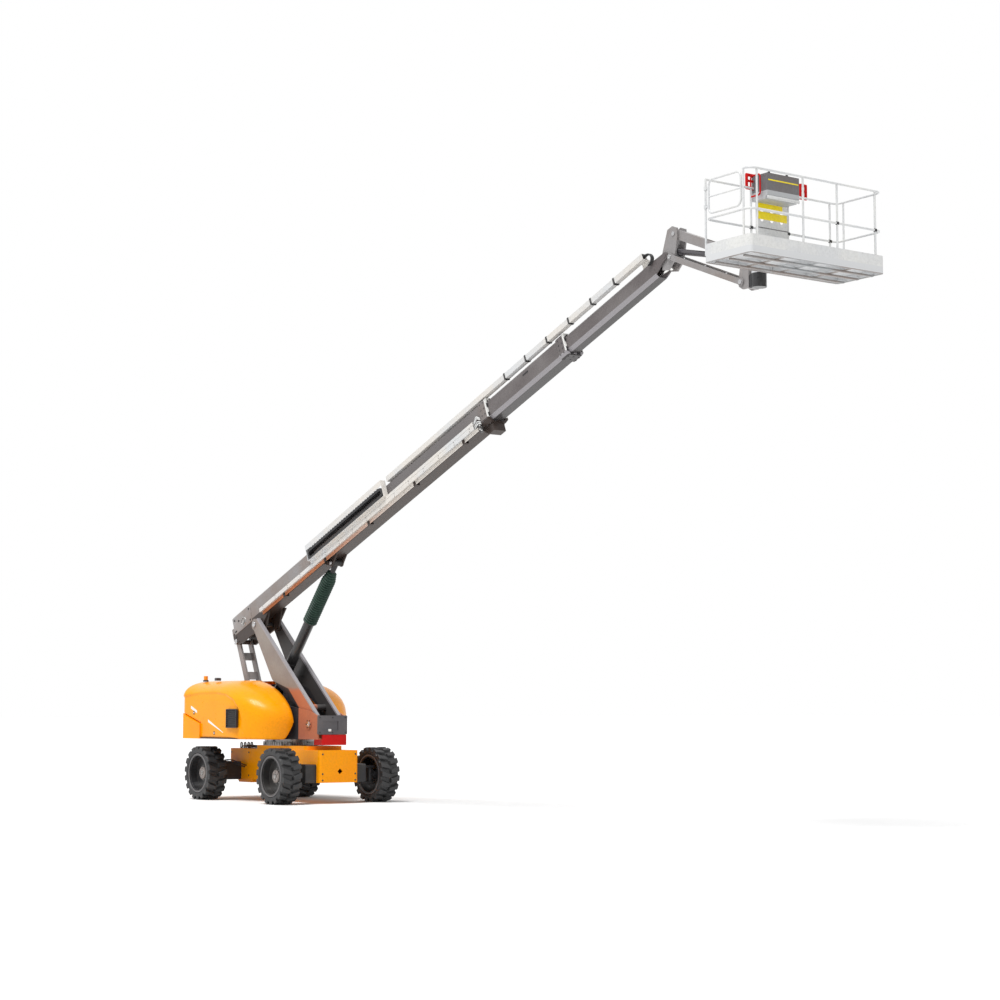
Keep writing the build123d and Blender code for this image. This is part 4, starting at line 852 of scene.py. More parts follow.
@dataclass(frozen=True)
class RimPaint(Paint):
    """Wheel paint with thin pale rings round the wheel's axis and a pale hub."""

    rings: tuple[tuple[float, float], ...] = ((0.300, 0.307), (0.352, 0.372))
    hub: float = 0.119

    def marks(self, canvas: Canvas) -> None:
        """Rings by the distance from the axle, the same for the front and rear axle.

        Args:
            canvas: The colour so far.
        """
        graph = canvas.graph
        x, _, z = graph.parts(canvas.place)
        across = graph.calc("SUBTRACT", graph.calc("ABSOLUTE", x), WHEEL_X)
        up = graph.calc("SUBTRACT", z, AXLE_Z)
        radius = graph.calc("SQRT", graph.plus(graph.times(across, across), graph.times(up, up)))
        for low, high in self.rings:
            canvas.lay(graph.band(radius, low, high), Tone.DARK_FADE)
        canvas.lay(graph.span(radius, self.hub - 0.002, self.hub + 0.002, 1.0, 0.0), Tone.BOOM_FADE)


@dataclass(frozen=True)
class Grained(Finish):
    """Rubber, hose jacket and moulded plastic."""

    base: Tone = Tone.BLACK
    dust_tone: Tone = Tone.DUST
    dust: float = 0.08
    grain: float = 160.0
    specular: float = 0.5

    def shine(self) -> dict[str, float]:
        """A dull sheen."""
        return {"Specular IOR Level": self.specular}

    def effect(self) -> tuple[Effect, dict[str, object]]:
        """Fine grain under thin dust."""
        values = {"Dust": self.dust_tone.rgba(), "Grain Scale": self.grain, "Dust Amount": self.dust}
        return Dusting(), values


@dataclass(frozen=True)
class Lens(Grained):
    """Moulded clear lens in amber, with fine mould grain and a dark body for the forward lamp."""

    clear: float = 0.15
    ior: float = 1.49
    dark_from: float = -1.70

    def shine(self) -> dict[str, float]:
        """Tinted clear plastic."""
        return {**super().shine(), "Transmission Weight": self.clear, "IOR": self.ior}

    def marks(self, canvas: Canvas) -> None:
        """A dark body for the lamp that stands farther forward."""
        x = canvas.graph.parts(canvas.place)[0]
        canvas.lay(canvas.graph.span(x, self.dark_from, self.dark_from + 0.02), Tone.DARK)


@dataclass(frozen=True)
class Metal(Finish):
    """Bare or plated metal."""

    oxide_tone: Tone = Tone.STEEL_FADE
    oxide: float = 0.5
    polish: float = 0.2

    def shine(self) -> dict[str, float]:
        """Full metal."""
        return {"Metallic": 1.0}

    def effect(self) -> tuple[Effect, dict[str, object]]:
        """Fine worked lines with patches of oxide."""
        values = {"Oxide Amount": self.oxide, "Polish Roughness": self.polish}
        return Brushing(), {"Oxide": self.oxide_tone.rgba(), **values}


@dataclass(frozen=True)
class PipeMetal(Metal):
    """Bare pipe that keeps its bright tone on the top line, with painted shade below and dark clamps."""

    shade_line: float = 0.060
    clamp_at: float = 1.150
    clamp_pitch: float = 1.600
    clamp_len: float = 0.060
    clamps: int = 5
    pale_from: float = 2.2
    pale_to: float = 6.0

    def marks(self, canvas: Canvas) -> None:
        """Painted shade below a line across the boom, and dark at the clamps' places along it.

        Args:
            canvas: The colour so far.
        """
        graph = canvas.graph
        along, across = canvas.boom()
        # Painted shade below the line; the clamp bands join the same dark mask.
        dark = graph.span(across, self.shade_line, self.shade_line + 0.004, 1.0, 0.0)
        for i in range(self.clamps):
            low = self.clamp_at + self.clamp_pitch * i
            clamp = graph.band(along, low - 0.001, low + self.clamp_len + 0.001)
            dark = graph.calc("MAXIMUM", dark, clamp)
        canvas.lay(graph.span(along, self.pale_from, self.pale_to), Tone.TRAY)
        # Lays the painted shade and the clamp bands in dark brown.
        canvas.lay(dark, Tone.BROWN)


# Finishes of this machine

BLACKS = {"base": Tone.BLACK, "faded": Tone.BLACK_FADE}
GREYS = {"base": Tone.BOOM_LIGHT, "faded": Tone.BOOM_FADE}
SALMONS = {"base": Tone.SALMON, "faded": Tone.SALMON_FADE}
INNER = {"base": Tone.BOOM_SIDE, "faded": Tone.BOOM, "dirt": 0.03, "streak": 0.05, "chip": 0.1, "gloss": 0.28,
         "coat": 0.1, "specular": 0.3}

FINISHES: dict[str, Finish] = {
    "body": Paint("body_orange", dirt=0.04, streak=0.04, chip=0.2, gloss=0.34, coat=0.04, specular=0.15),
    "hood": HoodPaint("hood_orange", dirt=0.02, streak=0.03, chip=0.05, coat=0.14, specular=0.15, cloud=0.7),
    "casting": Paint("casting_orange", dirt=0.04, streak=0.05, chip=0.2, gloss=0.38, coat=0.04,
                     specular=0.15, bump=0.2),
    # Base boom: its lower side and underside are painted shade in dark brown.
    "base": BoomPaint("boom_base_grey", **GREYS, dirt=0.06, streak=0.08, chip=0.1, gloss=0.32, specular=0.25,
                      bands=((3.6, 8.2, Tone.BOOM_DARK, 0.8), (8.346, 8.364, Tone.PALE, 0.001)),
                      light_and_shade_zones=((-2.0, 0.196, Tone.BROWN, 0.004),)),
    # Mid and tip sections: a lighter band on the lower bevel is painted highlight, and the underside is
    # painted shade.
    "mid": BoomPaint("boom_mid_grey", **INNER, bands=((10.604, 10.622, Tone.PALE, 0.001),),
                     light_and_shade_zones=((0.156, 0.211, Tone.BEVEL_HIGHLIGHT, 0.002), (-2.0, 0.1545, Tone.UNDER_SHADE, 0.001))),
    "tip": BoomPaint("boom_tip_grey", **INNER,
                     light_and_shade_zones=((0.183, 0.238, Tone.BEVEL_HIGHLIGHT, 0.002), (-2.0, 0.1815, Tone.UNDER_SHADE, 0.001))),
    "leg": LegPaint("riser_grey", Tone.LEG, faded=Tone.BOOM_FADE, dirt=0.05, streak=0.06, gloss=0.34,
                    specular=0.3),
    "axle": Paint("axle_black", Tone.AXLE, faded=Tone.BLACK_FADE, dirt=0.06, streak=0.04, gloss=0.36,
                  specular=0.3),
    "deck": ZonePaint("turntable_salmon", **SALMONS, dirt=0.06, streak=0.06, gloss=0.36, specular=0.2,
                      cloud=0.9, axis=Axis.X, low=-3.0, high=0.80),
    "grey": Paint("structure_grey", **GREYS, dirt=0.06, streak=0.08, gloss=0.32, coat=0.15),
    "dark": Paint("dark_grey", Tone.DARK, faded=Tone.DARK_FADE, dirt=0.08, streak=0.06, gloss=0.36, coat=0.1),
    "black": Paint("satin_black", **BLACKS, dirt=0.06, streak=0.04, coat=0.2),
    "rim": RimPaint("rim_black", **BLACKS, dirt=0.10, streak=0.0, gloss=0.34, coat=0.2),
    "white": Paint("tray_white", Tone.TRAY, 0.03, faded=Tone.RAIL, dirt=0.02, streak=0.05, chip=0.0,
                   gloss=0.40, specular=0.3),
    "rail": Paint("rail_white", Tone.RAIL, 0.03, faded=Tone.WHITE, dirt=0.02, streak=0.02, chip=0.0),
    "console": ZonePaint("console_grey", Tone.CONSOLE, faded=Tone.BOOM, dirt=0.04, streak=0.05, chip=0.05,
                         gloss=0.40, specular=0.3, high=9.050, zone=Tone.CASE),
    "red": Paint("signal_red", Tone.RED, faded=Tone.RED_FADE, dirt=0.03, streak=0.03, gloss=0.34,
                 specular=0.15),
    "yellow": Paint("plate_yellow", Tone.YELLOW, faded=Tone.YELLOW_FADE, dirt=0.03, streak=0.03, chip=0.05,
                    gloss=0.38),
    "pale": Paint("plate_pale", Tone.PALE, faded=Tone.WHITE, dirt=0.03, streak=0.04, gloss=0.36, chip=0.05),
    # Platform floor: below the top sheet's level it is a darker grey as painted shade; the top keeps the pale
    # rail tone.
    "floor": ZonePaint("floor_sheet", Tone.FLOOR, faded=Tone.BOOM_FADE, dirt=0.04, streak=0.0, chip=0.05,
                       gloss=0.36, specular=0.3, low=7.936, high=9.0, zone=Tone.RAIL),
    "rubber": Grained("tyre_rubber", Tone.RUBBER, 0.1, dust_tone=Tone.DARK_FADE, dust=0.15, grain=190.0,
                      specular=0.6),
    "hose": Grained("hose_jacket", grain=260.0),
    "plastic": Grained("moulded_black", grain=220.0),
    "sleeve": Grained("sleeve_green", Tone.GREEN, 0.3, dust_tone=Tone.GREEN_FADE, dust=0.7, grain=140.0,
                      specular=0.4),
    "steel": Metal("worked_steel"),
    "ring": Metal("ring_steel", Tone.STEEL_FADE, oxide_tone=Tone.BLACK_FADE, oxide=0.9, polish=0.34),
    "chrome": Metal("ground_chrome", Tone.PALE, oxide=0.1, polish=0.08),
    "copper": PipeMetal("bare_copper", Tone.COPPER, oxide_tone=Tone.COPPER_FADE, oxide=0.4, polish=0.30),
    "amber": Lens("amber_lens", Tone.AMBER, dust=0.12, grain=90.0),
}

NODES_IN: dict[str, str] = {
    "body": "chassis_frame",
    "axle": "axle_beams steer_knuckle_left steer_knuckle_right lift_rod",
    "ring": "slew_ring",
    "black": "rear_valve_block lift_barrel platform_rotator",
    "deck": "turntable_frame",
    "dark": "front_cover engine_block level_barrel jib_barrel",
    "red": "slew_drive_cover grab_brackets",
    "casting": "counterweight",
    "hood": "hood_left hood_right",
    "plastic": "hood_vent energy_chain",
    "amber": "beacon_lamps",
    "leg": "riser_legs",
    "grey": "rear_link jib_knuckle jib_lower_arm jib_upper_arm jib_post",
    "base": "boom_base",
    "mid": "boom_section_2",
    "tip": "boom_section_3",
    "white": "cable_tray hose_carrier",
    "copper": "boom_pipes",
    "sleeve": "rod_guard",
    "chrome": "level_rod jib_rod",
    "floor": "platform_floor",
    "rail": "platform_arm platform_rails console_panel platform_gate",
    "console": "control_console",
    "rubber": "tyre_front_left tyre_front_right tyre_rear_left tyre_rear_right",
    "rim": "rim_front_left rim_front_right rim_rear_left rim_rear_right",
}


def dress_nodes(nodes: dict[str, Thing]) -> None:
    """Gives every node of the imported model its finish.

    Args:
        nodes: The model's nodes by name.
    """
    kinds = {node: kind for kind, names in NODES_IN.items() for node in names.split()}
    for name, obj in nodes.items():
        finish = FINISHES[kinds[name]].material()
        for place in obj.material_slots:
            place.material = finish
        LOG.info("node %s in %s", name, finish.name)


def make_piece(
    name: str, shapes: list[Shape], finish: str, body: str, sharp: float = 35.0
) -> Thing:
    """A new piece from points and quads, on the body that carries it.

    Doubled points at seams and poles are merged and the faces turned outward.

    Args:
        name: The piece's name.
        shapes: Points and quads of what the piece is joined from.
        finish: Key of its finish.
        body: Body that it moves with.
        sharp: Angle in degrees past which an edge stays sharp.

    Returns:
        The piece.
    """
    points, quads = joined(shapes)
    mesh = bpy.data.meshes.new(name)
    mesh.from_pydata(points.tolist(), [], quads.tolist())
    work = bmesh.new()
    work.from_mesh(mesh)
    bmesh.ops.remove_doubles(work, verts=work.verts, dist=SAME_POINT)
    bmesh.ops.dissolve_degenerate(work, edges=work.edges, dist=NO_LENGTH)
    bmesh.ops.recalc_face_normals(work, faces=work.faces)
    work.to_mesh(mesh)
    work.free()
    mesh.polygons.foreach_set("use_smooth", np.ones(len(mesh.polygons), bool))
    mesh.set_sharp_from_angle(angle=math.radians(sharp))
    mesh.materials.append(FINISHES[finish].material())
    obj = bpy.data.objects.new(name, mesh)
    bpy.context.scene.collection.objects.link(obj)
    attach(obj, body)
    LOG.info("piece %s on %s, %d faces", name, body, len(mesh.polygons))
    return obj


# Sub-assemblies


@dataclass
class Wheel:
    """One wheel: a tyre with staggered lugs round the rim, hub nuts, a hub cap and a valve."""

    place: str
    x: float
    side: int
    track: float = 1.0525
    tip_r: float = 0.510
    tread_r: float = 0.464
    shoulder_v: float = 0.165
    half_w: float = 0.1925
    bead_r: float = 0.3465
    lugs: int = 18
    lug_v: float = 0.010
    lug_inner: float = 0.074
    lug_outer: float = 0.108
    lean: float = 0.30
    lean_v: float = 0.10
    turn_steps: int = 26
    profile_steps: int = 50

    def at(self, r: float | Array, v: float | Array, t: float | Array) -> Array:
        """Point from the distance to the axle, the distance outward and the turn from straight down."""
        y = self.side * (self.track + np.asarray(v, float))
        return np.stack(np.broadcast_arrays(self.x + r * np.sin(t), y, AXLE_Z - r * np.cos(t)), axis=-1)

    def profiles(self) -> list[Array]:
        """The casing, and the outline through the lug tips, as rows of distance outward and radius.

        Returns:
            Both profiles, over one parameter.
        """
        foot = [(0.166, self.bead_r), (0.166, 0.374), (0.176, 0.382), (0.187, 0.390), (0.1905, 0.402)]
        foot.append((0.1925, 0.415))
        found = []
        wall = [(0.1925, 0.430), (0.1920, 0.440), (0.1910, 0.446), (0.188, 0.452), (0.180, 0.458)]
        lug_wall = [(0.1925, 0.432), (0.1928, 0.440), (0.1930, 0.478), (0.1930, 0.504), (0.188, self.tip_r)]
        tread = (self.shoulder_v, 0.10, 0.05, self.lug_v, 0.0)
        for side, radius in ((wall, self.tread_r), (lug_wall, self.tip_r)):
            rows = np.array(foot + side + [(v, radius) for v in tread])
            fine = np.linspace(0, len(rows) - 1, self.profile_steps)
            half = np.stack([np.interp(fine, np.arange(len(rows)), column) for column in rows.T], axis=-1)
            found.append(np.concatenate([half, (half * [-1, 1])[-2::-1]]))
        return found

    def tyre(self) -> Shape:
        """The tyre's skin over turn and profile.

        Two profiles share one parameter: the casing, and the outline through the lug tips. Each point
        lies between them by the lug mask, which is one where the arc from the nearest lug's middle is
        under the lug's half width at that distance from the tyre's middle. The lugs lean with that
        distance, and those of the inner half are half a pitch on.

        Returns:
            Points and quads.
        """
        skin, crown = self.profiles()
        t = np.linspace(0, 2 * np.pi, self.lugs * self.turn_steps, endpoint=False)[:, None]
        v = skin[None, :, 0]
        off = np.abs(v)
        pitch = 2 * np.pi / self.lugs
        shift = np.where(v >= 0, 0.0, 0.5 * pitch)
        arc = (np.mod(t - shift + pitch / 2, pitch) - pitch / 2) * self.tip_r
        arc = arc - self.lean * (off - self.lean_v)
        share = np.clip((off - self.lug_v) / (self.half_w - self.lug_v), 0, 1)
        width = (self.lug_inner + (self.lug_outer - self.lug_inner) * share) / 2
        lug = ease(width - np.abs(arc), -0.004, 0.003)
        lug = lug * ease(off, self.lug_v - 0.004, self.lug_v + 0.003)
        mask = lug[..., None]
        out, radius = np.moveaxis(skin[None] * (1 - mask) + crown[None] * mask, -1, 0)
        rings = 0.0016 * (np.cos((radius - 0.405) * 420) > 0.3) * (radius < 0.436) * (radius > 0.398)
        points = self.at(radius, out + np.sign(out) * rings, t)
        rows, cols = points.shape[:2]
        closing = grid_quads(rows, 2, True, False) + rows * cols
        quads = np.concatenate([grid_quads(rows, cols, True, False), closing])
        return np.concatenate([points.reshape(-1, 3), points[:, [0, -1]].reshape(-1, 3)]), quads

    def build(self) -> None:
        """Makes the tyre, the nuts, the cap and the valve."""
        body = "wheel_" + self.place
        out = np.array([0.0, float(self.side), 0.0])
        tyre = make_piece("tread_" + self.place, [self.tyre()], "rubber", body, sharp=50.0)
        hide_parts("tyre_" + self.place)
        ten, six = (np.linspace(0, 2 * np.pi, count, endpoint=False) for count in (10, 6))
        nuts = studs(self.at(0.1345, 0.046, ten), out, 0.0105, 0.016)
        cap = studs(self.at(0.078, 0.082, six), out, 0.009, 0.010)
        plug = capsule_pin(self.at(0.0, 0.0815, 0.0), out, 0.045, 0.014)
        make_piece("hub_nuts_" + self.place, [nuts, cap, plug], "ring", body)
        lip = ring_bead(self.at(0.0, 0.1785, 0.0), out, 0.3705, 0.0035)
        step = ring_bead(self.at(0.0, 0.150, 0.0), out, 0.3310, 0.0025)
        make_piece("rim_beads_" + self.place, [lip, step], "dark", body)
        stem = self.at(0.305, np.array([0.028, 0.050, 0.075]), 2.2)
        make_piece("valve_" + self.place, [hose(stem, 0.006, 10, UP)], "hose", body)


@dataclass
class Chassis:
    """Bolts, plugs, supply hoses and motor hoses on the chassis."""

    front_x: float = 1.770
    side_y: float = 0.420
    front_bolts: Pairs = ((0.352, 0.546), (0.352, 0.430), (0.352, 0.905))
    side_bolts: Pairs = tuple((x, z) for x in (-1.53, -0.85, 0.60) for z in (0.90, 0.46))
    bolt: tuple[float, float] = (0.013, 0.010)
    plug: Triple = (-1.241, 0.0, 0.663)
    supply_y: tuple[float, ...] = (-0.12, -0.07, -0.02, 0.03, 0.08)
    motor_shifts: Pairs = ((0.0, 0.06), (0.03, 0.12))

    def build(self) -> None:
        """Makes the chassis's small pieces."""
        front = [(self.front_x, s * y, z) for y, z in self.front_bolts for s in SIDES]
        bolts = [studs(front, FORWARD, *self.bolt)]
        for s in SIDES:
            bolts.append(studs([(x, s * self.side_y, z) for x, z in self.side_bolts], (0, s, 0), *self.bolt))
        make_piece("chassis_bolts", bolts, "black", "chassis")
        make_piece("chassis_plugs", pin_pair(self.plug, self.side_y, 0.022, 0.008), "plastic", "chassis")
        loops = []
        for k, y in enumerate(self.supply_y):
            rise = 0.008 * (k % 3)
            run = [(-1.70, y, 0.925), (-1.66, y, 0.985 + rise), (-1.45, y - 0.05, 1.010 + rise),
                   (-1.10, y - 0.06, 1.000 + rise), (-0.80, y - 0.02, 1.000), (-0.615, y, 1.005)]
            loops.append(hose(run, 0.014))
        make_piece("supply_hoses", loops, "hose", "chassis")
        run = np.array([(-1.06, 0.415, 0.62), (-1.04, 0.50, 0.64), (-1.09, 0.64, 0.70),
                        (-1.20, 0.74, 0.735), (-1.30, 0.80, 0.70), (-1.33, 0.825, 0.62)])
        shifts = [(s, dz, dx) for s in SIDES for dz, dx in self.motor_shifts]
        hoses = [hose(run * (1, s, 1) + (dx, 0, dz), 0.011, up=UP) for s, dz, dx in shifts]
        make_piece("motor_hoses", hoses, "hose", "chassis")


@dataclass
class Turntable:
    """Pin caps, bolts and a blank plate on the turntable."""

    nose_x: float = 1.534
    plate_low: Triple = (1.519, -0.091, 1.318)
    plate_high: Triple = (1.538, -0.031, 1.362)
    cover_bolts: Pairs = ((0.275, 1.575), (0.275, 1.300), (0.0, 1.575), (0.0, 1.300))
    ring_r: float = 0.074

    def build(self) -> None:
        """Makes the turntable's small pieces."""
        plate = soft_box(self.plate_low, self.plate_high, 0.004)
        make_piece("blank_plate_front", [plate], "pale", "turntable")
        seats = [(self.nose_x, s * y, z) for y, z in self.cover_bolts for s in SIDES]
        make_piece("front_cover_bolts", [studs(seats, FORWARD, *BOLT)], "black", "turntable")
        make_piece("riser_pin_caps", pin_pair(RISER_PIN, 0.310, 0.050, 0.016), "steel", "turntable")
        t = np.linspace(0, 2 * np.pi, 6, endpoint=False)
        ring = RISER_PIN + self.ring_r * np.stack([np.cos(t), 0 * t, np.sin(t)], axis=-1)
        bolts = [studs(ring + (0, s * 0.314, 0), (0, s, 0), 0.010, 0.009) for s in SIDES]
        make_piece("riser_pin_bolts", bolts, "black", "turntable")


@dataclass
class Hood:
    """One hood: a moulded skin with an arch on its side, hinge eyes, latches and, on the right, a vent."""

    body: str
    node: str
    side: int
    rear: float = -2.200
    nose: float = 0.725
    nose_z: float = 1.475
    chin_x: float = 0.690
    brow_x: float = -0.75
    cheek_x: float = -0.35
    bend_x: float = 0.1
    inner: float = 0.360
    outer: float = 1.200
    low: float = 1.165
    top: float = 2.280
    step_x: float = -1.410
    crease: tuple[float, float] = (1.666, 1.451)
    shoulder: float = 0.46
    rear_round: float = 0.16
    wall: float = 0.008
    arch_depth: float = 0.034
    arch_x: tuple[float, ...] = (-2.4, -2.06, -1.5, -0.84, -0.45, -0.15, 0.03, 0.12, 0.15, 0.16)
    arch_z: tuple[float, ...] = (1.97, 2.01, 2.06, 2.07, 2.03, 1.93, 1.76, 1.55, 1.30, 1.0)
    latches: Pairs = ((-0.878, 1.276), (-1.70, 1.661))
    eyes_x: tuple[float, float] = (-1.15, -0.55)

    def outline(self, x: Array) -> tuple[Array, Array, Array]:
        """Top edge, low edge and reach outward at each station along the hood.

        Behind the brow the top is level and draws in at the rear by a quarter circle. From the brow on,
        top and reach fall as superellipses to the nose, and the low edge rises to it.

        Args:
            x: Stations.

        Returns:
            Heights of the top and low edge, and the reach from the inner edge.
        """
        tail = np.clip((self.rear + self.rear_round - x) / self.rear_round, 0, 1)
        drop = self.rear_round * (1 - np.sqrt(1 - 0.96 * tail**2))
        brow = np.clip((x - self.brow_x) / (self.nose - self.brow_x), 0, 1)
        top = self.nose_z + (self.top - drop - self.nose_z) * (1 - brow**1.8) ** (1 / 1.8)
        chin = np.clip((x - self.chin_x) / (self.nose - self.chin_x), 0, 1)
        low = self.nose_z - (self.nose_z - self.low) * np.sqrt(1 - chin**2)
        low = np.where(x < self.step_x, np.interp(x, [self.rear, self.step_x], self.crease), low)
        cheek = np.clip((x - self.cheek_x) / (self.nose - self.cheek_x), 0, 1)
        reach = (self.outer - self.inner) * np.sqrt(1 - cheek**2.4) - 0.6 * drop
        return top, low, np.maximum(reach, 0.02)

    def skin(self) -> Shape:
        """The open skin over stations and section.

        A section starts level at the inner edge, turns down over a superelliptic shoulder and runs
        straight to the low edge, where it tucks in. The side sinks under the arch line. The first row
        closes the rear end.

        Returns:
            Points and quads.
        """
        quarter = np.pi / 2
        rear = self.rear + self.rear_round * (1 - np.cos(np.linspace(0, quarter, 14)))
        flat = np.linspace(self.rear + self.rear_round, self.step_x - 0.0005, 40)[1:]
        rest = np.linspace(self.step_x, self.bend_x, 90)
        front = self.bend_x + (self.nose - self.bend_x) * np.sin(np.linspace(0, quarter, 60))[1:]
        x = np.concatenate([rear, flat, rest, front])[:, None]
        top, low, reach = self.outline(x)
        height = np.minimum(self.shoulder, 0.62 * (top - low))
        t = np.linspace(0, quarter, 44)[None]
        power = 2 / 2.9
        run = np.linspace(0, 1, 60)[None, 1:]
        tuck = 0.035 * np.clip((run - 0.90) / 0.10, 0, 1) ** 2
        straight = np.maximum(reach - tuck * np.minimum(1, reach / 0.3), 0.01)
        y = np.concatenate([reach * np.sin(t) ** power, straight], axis=1)
        bend = top - height * (1 - np.cos(t) ** power)
        z = np.concatenate([bend, top - height + (low - top + height) * run], axis=1)
        x = np.broadcast_to(x, y.shape)
        steep = np.clip((y / np.maximum(reach, 1e-6) - 0.80) / 0.2, 0, 1)
        steep = steep * np.clip((reach - 0.35) / 0.3, 0, 1)
        y = y - self.arch_depth * steep * ease(np.interp(x, self.arch_x, self.arch_z) - z, 0, 0.055)
        points = np.stack([x, self.side * (self.inner + y), z], axis=-1)
        cap = points[:1].copy()
        cap[..., 1] = self.side * self.inner
        points = np.concatenate([cap, points])
        return points.reshape(-1, 3), grid_quads(*points.shape[:2])

    def build(self) -> None:
        """Makes the skin and the pieces on it."""
        hood = make_piece("skin_" + self.node, [self.skin()], "hood", self.body, sharp=40.0)
        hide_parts(self.node)
        shell = hood.modifiers.new("wall", "SOLIDIFY")
        shell.thickness = self.wall
        shell.offset = -1.0
        spots = [((x - 0.022, 0.322, 2.180), (x + 0.022, 0.392, 2.272)) for x in self.eyes_x]
        eyes = [side_box(self.side, low, high, 0.006) for low, high in spots]
        make_piece("hinge_eyes_" + self.body, eyes, "body", self.body)
        wells, grips = [], []
        y = self.outer - self.arch_depth
        for x, z in self.latches:
            wells.append(ring_bead((x, self.side * y, z), (0, self.side, 0), 0.030, 0.006, 32))
            low, high = (x - 0.024, y - 0.006, z - 0.010), (x + 0.024, y + 0.008, z + 0.010)
            grips.append(side_box(self.side, low, high, 0.005))
        make_piece("latch_wells_" + self.body, wells, "plastic", self.body)
        make_piece("latch_grips_" + self.body, grips, "chrome", self.body)
        if self.side < 0:
            # A dark plate behind the vent slats: painted shade standing in for the dark inside of the hood.
            backing = soft_box((-0.350, -1.190, 1.387), (0.025, -1.155, 1.722), 0.002)
            make_piece("vent_shade_backing", [backing], "plastic", self.body)
            ring = [[0.054, -0.012], [0.054, 0.012], [0.050, 0.018], [0.041, 0.018]]
            make_piece("beacon_socket", [turned(ring, (-1.92, -0.8, 2.279), UP, 32)], "plastic", self.body)


@dataclass
class Linkage:
    """Pin caps on riser, link and boom foot, and the sleeve on the lift rod."""

    lift_eye: tuple[float, float] = (2.806, 0.048)
    sleeve_low: float = 2.627
    sleeve_len: float = 1.200
    sleeve_r: float = 0.120
    sleeve_fold: float = 0.017
    folds: int = 24

    def sleeve(self, axis: Array) -> Shape:
        """The folded sleeve: its radius swings by a cosine along the rod and draws in at both ends.

        Args:
            axis: Direction of the rod.

        Returns:
            Points and quads.
        """
        s = np.linspace(0, 1, self.folds * 12 + 1)
        wave = np.cos(2 * np.pi * self.folds * s)
        r = self.sleeve_r - self.sleeve_fold * wave - 0.048 * np.clip((s - 0.84) / 0.16, 0, 1)
        profile = np.stack([r, self.sleeve_low + self.sleeve_len * s], axis=-1)
        profile = np.concatenate([[[0.103, profile[0, 1]]], profile, [[0.052, profile[-1, 1]]]])
        return turned(profile, LINK_FOOT, axis, 40)

    def build(self) -> None:
        """Makes the sleeve, its bands and the pin caps."""
        eye = boom_at(self.lift_eye[0], 0.0, self.lift_eye[1])
        axis = unit(eye - LINK_FOOT)
        guard = make_piece("rod_sleeve", [self.sleeve(axis)], "sleeve", "lift_rod_body", sharp=60.0)
        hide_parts("rod_guard")
        low = LINK_FOOT + axis * (self.sleeve_low + 0.012)
        make_piece("sleeve_band", [ring_bead(low, axis, 0.128, 0.010, 48)], "black", "lift_rod_body")
        collar = [[0.099, -0.05], [0.106, -0.045], [0.106, 0.03], [0.099, 0.035]]
        strap = [[0.099, -0.02], [0.104, -0.016], [0.104, 0.016], [0.099, 0.02]]
        rows = ((collar, 2.76), (strap, 0.55), (strap, 1.60))
        bands = [turned(profile, LINK_FOOT + axis * d, axis, 40) for profile, d in rows]
        make_piece("barrel_bands", bands, "black", "lift_barrel_body")
        for name, centre, reach, radius, body in (
            ("boom_pin_caps", BOOM_PIN, 0.269, 0.055, "riser"),
            ("link_pin_caps", boom_at(-0.908, 0.0, 0.014), 0.192, 0.055, "boom"),
            ("lift_pin_caps", eye, 0.126, 0.040, "lift_rod_body"),
        ):
            make_piece(name, pin_pair(centre, reach, radius, 0.016), "steel", body)


@dataclass(frozen=True)
class Section:
    """One tube of the boom: half width, lowest and highest place across the boom, and its collar's end."""

    half: float
    low: float
    high: float
    end: float = 0.0


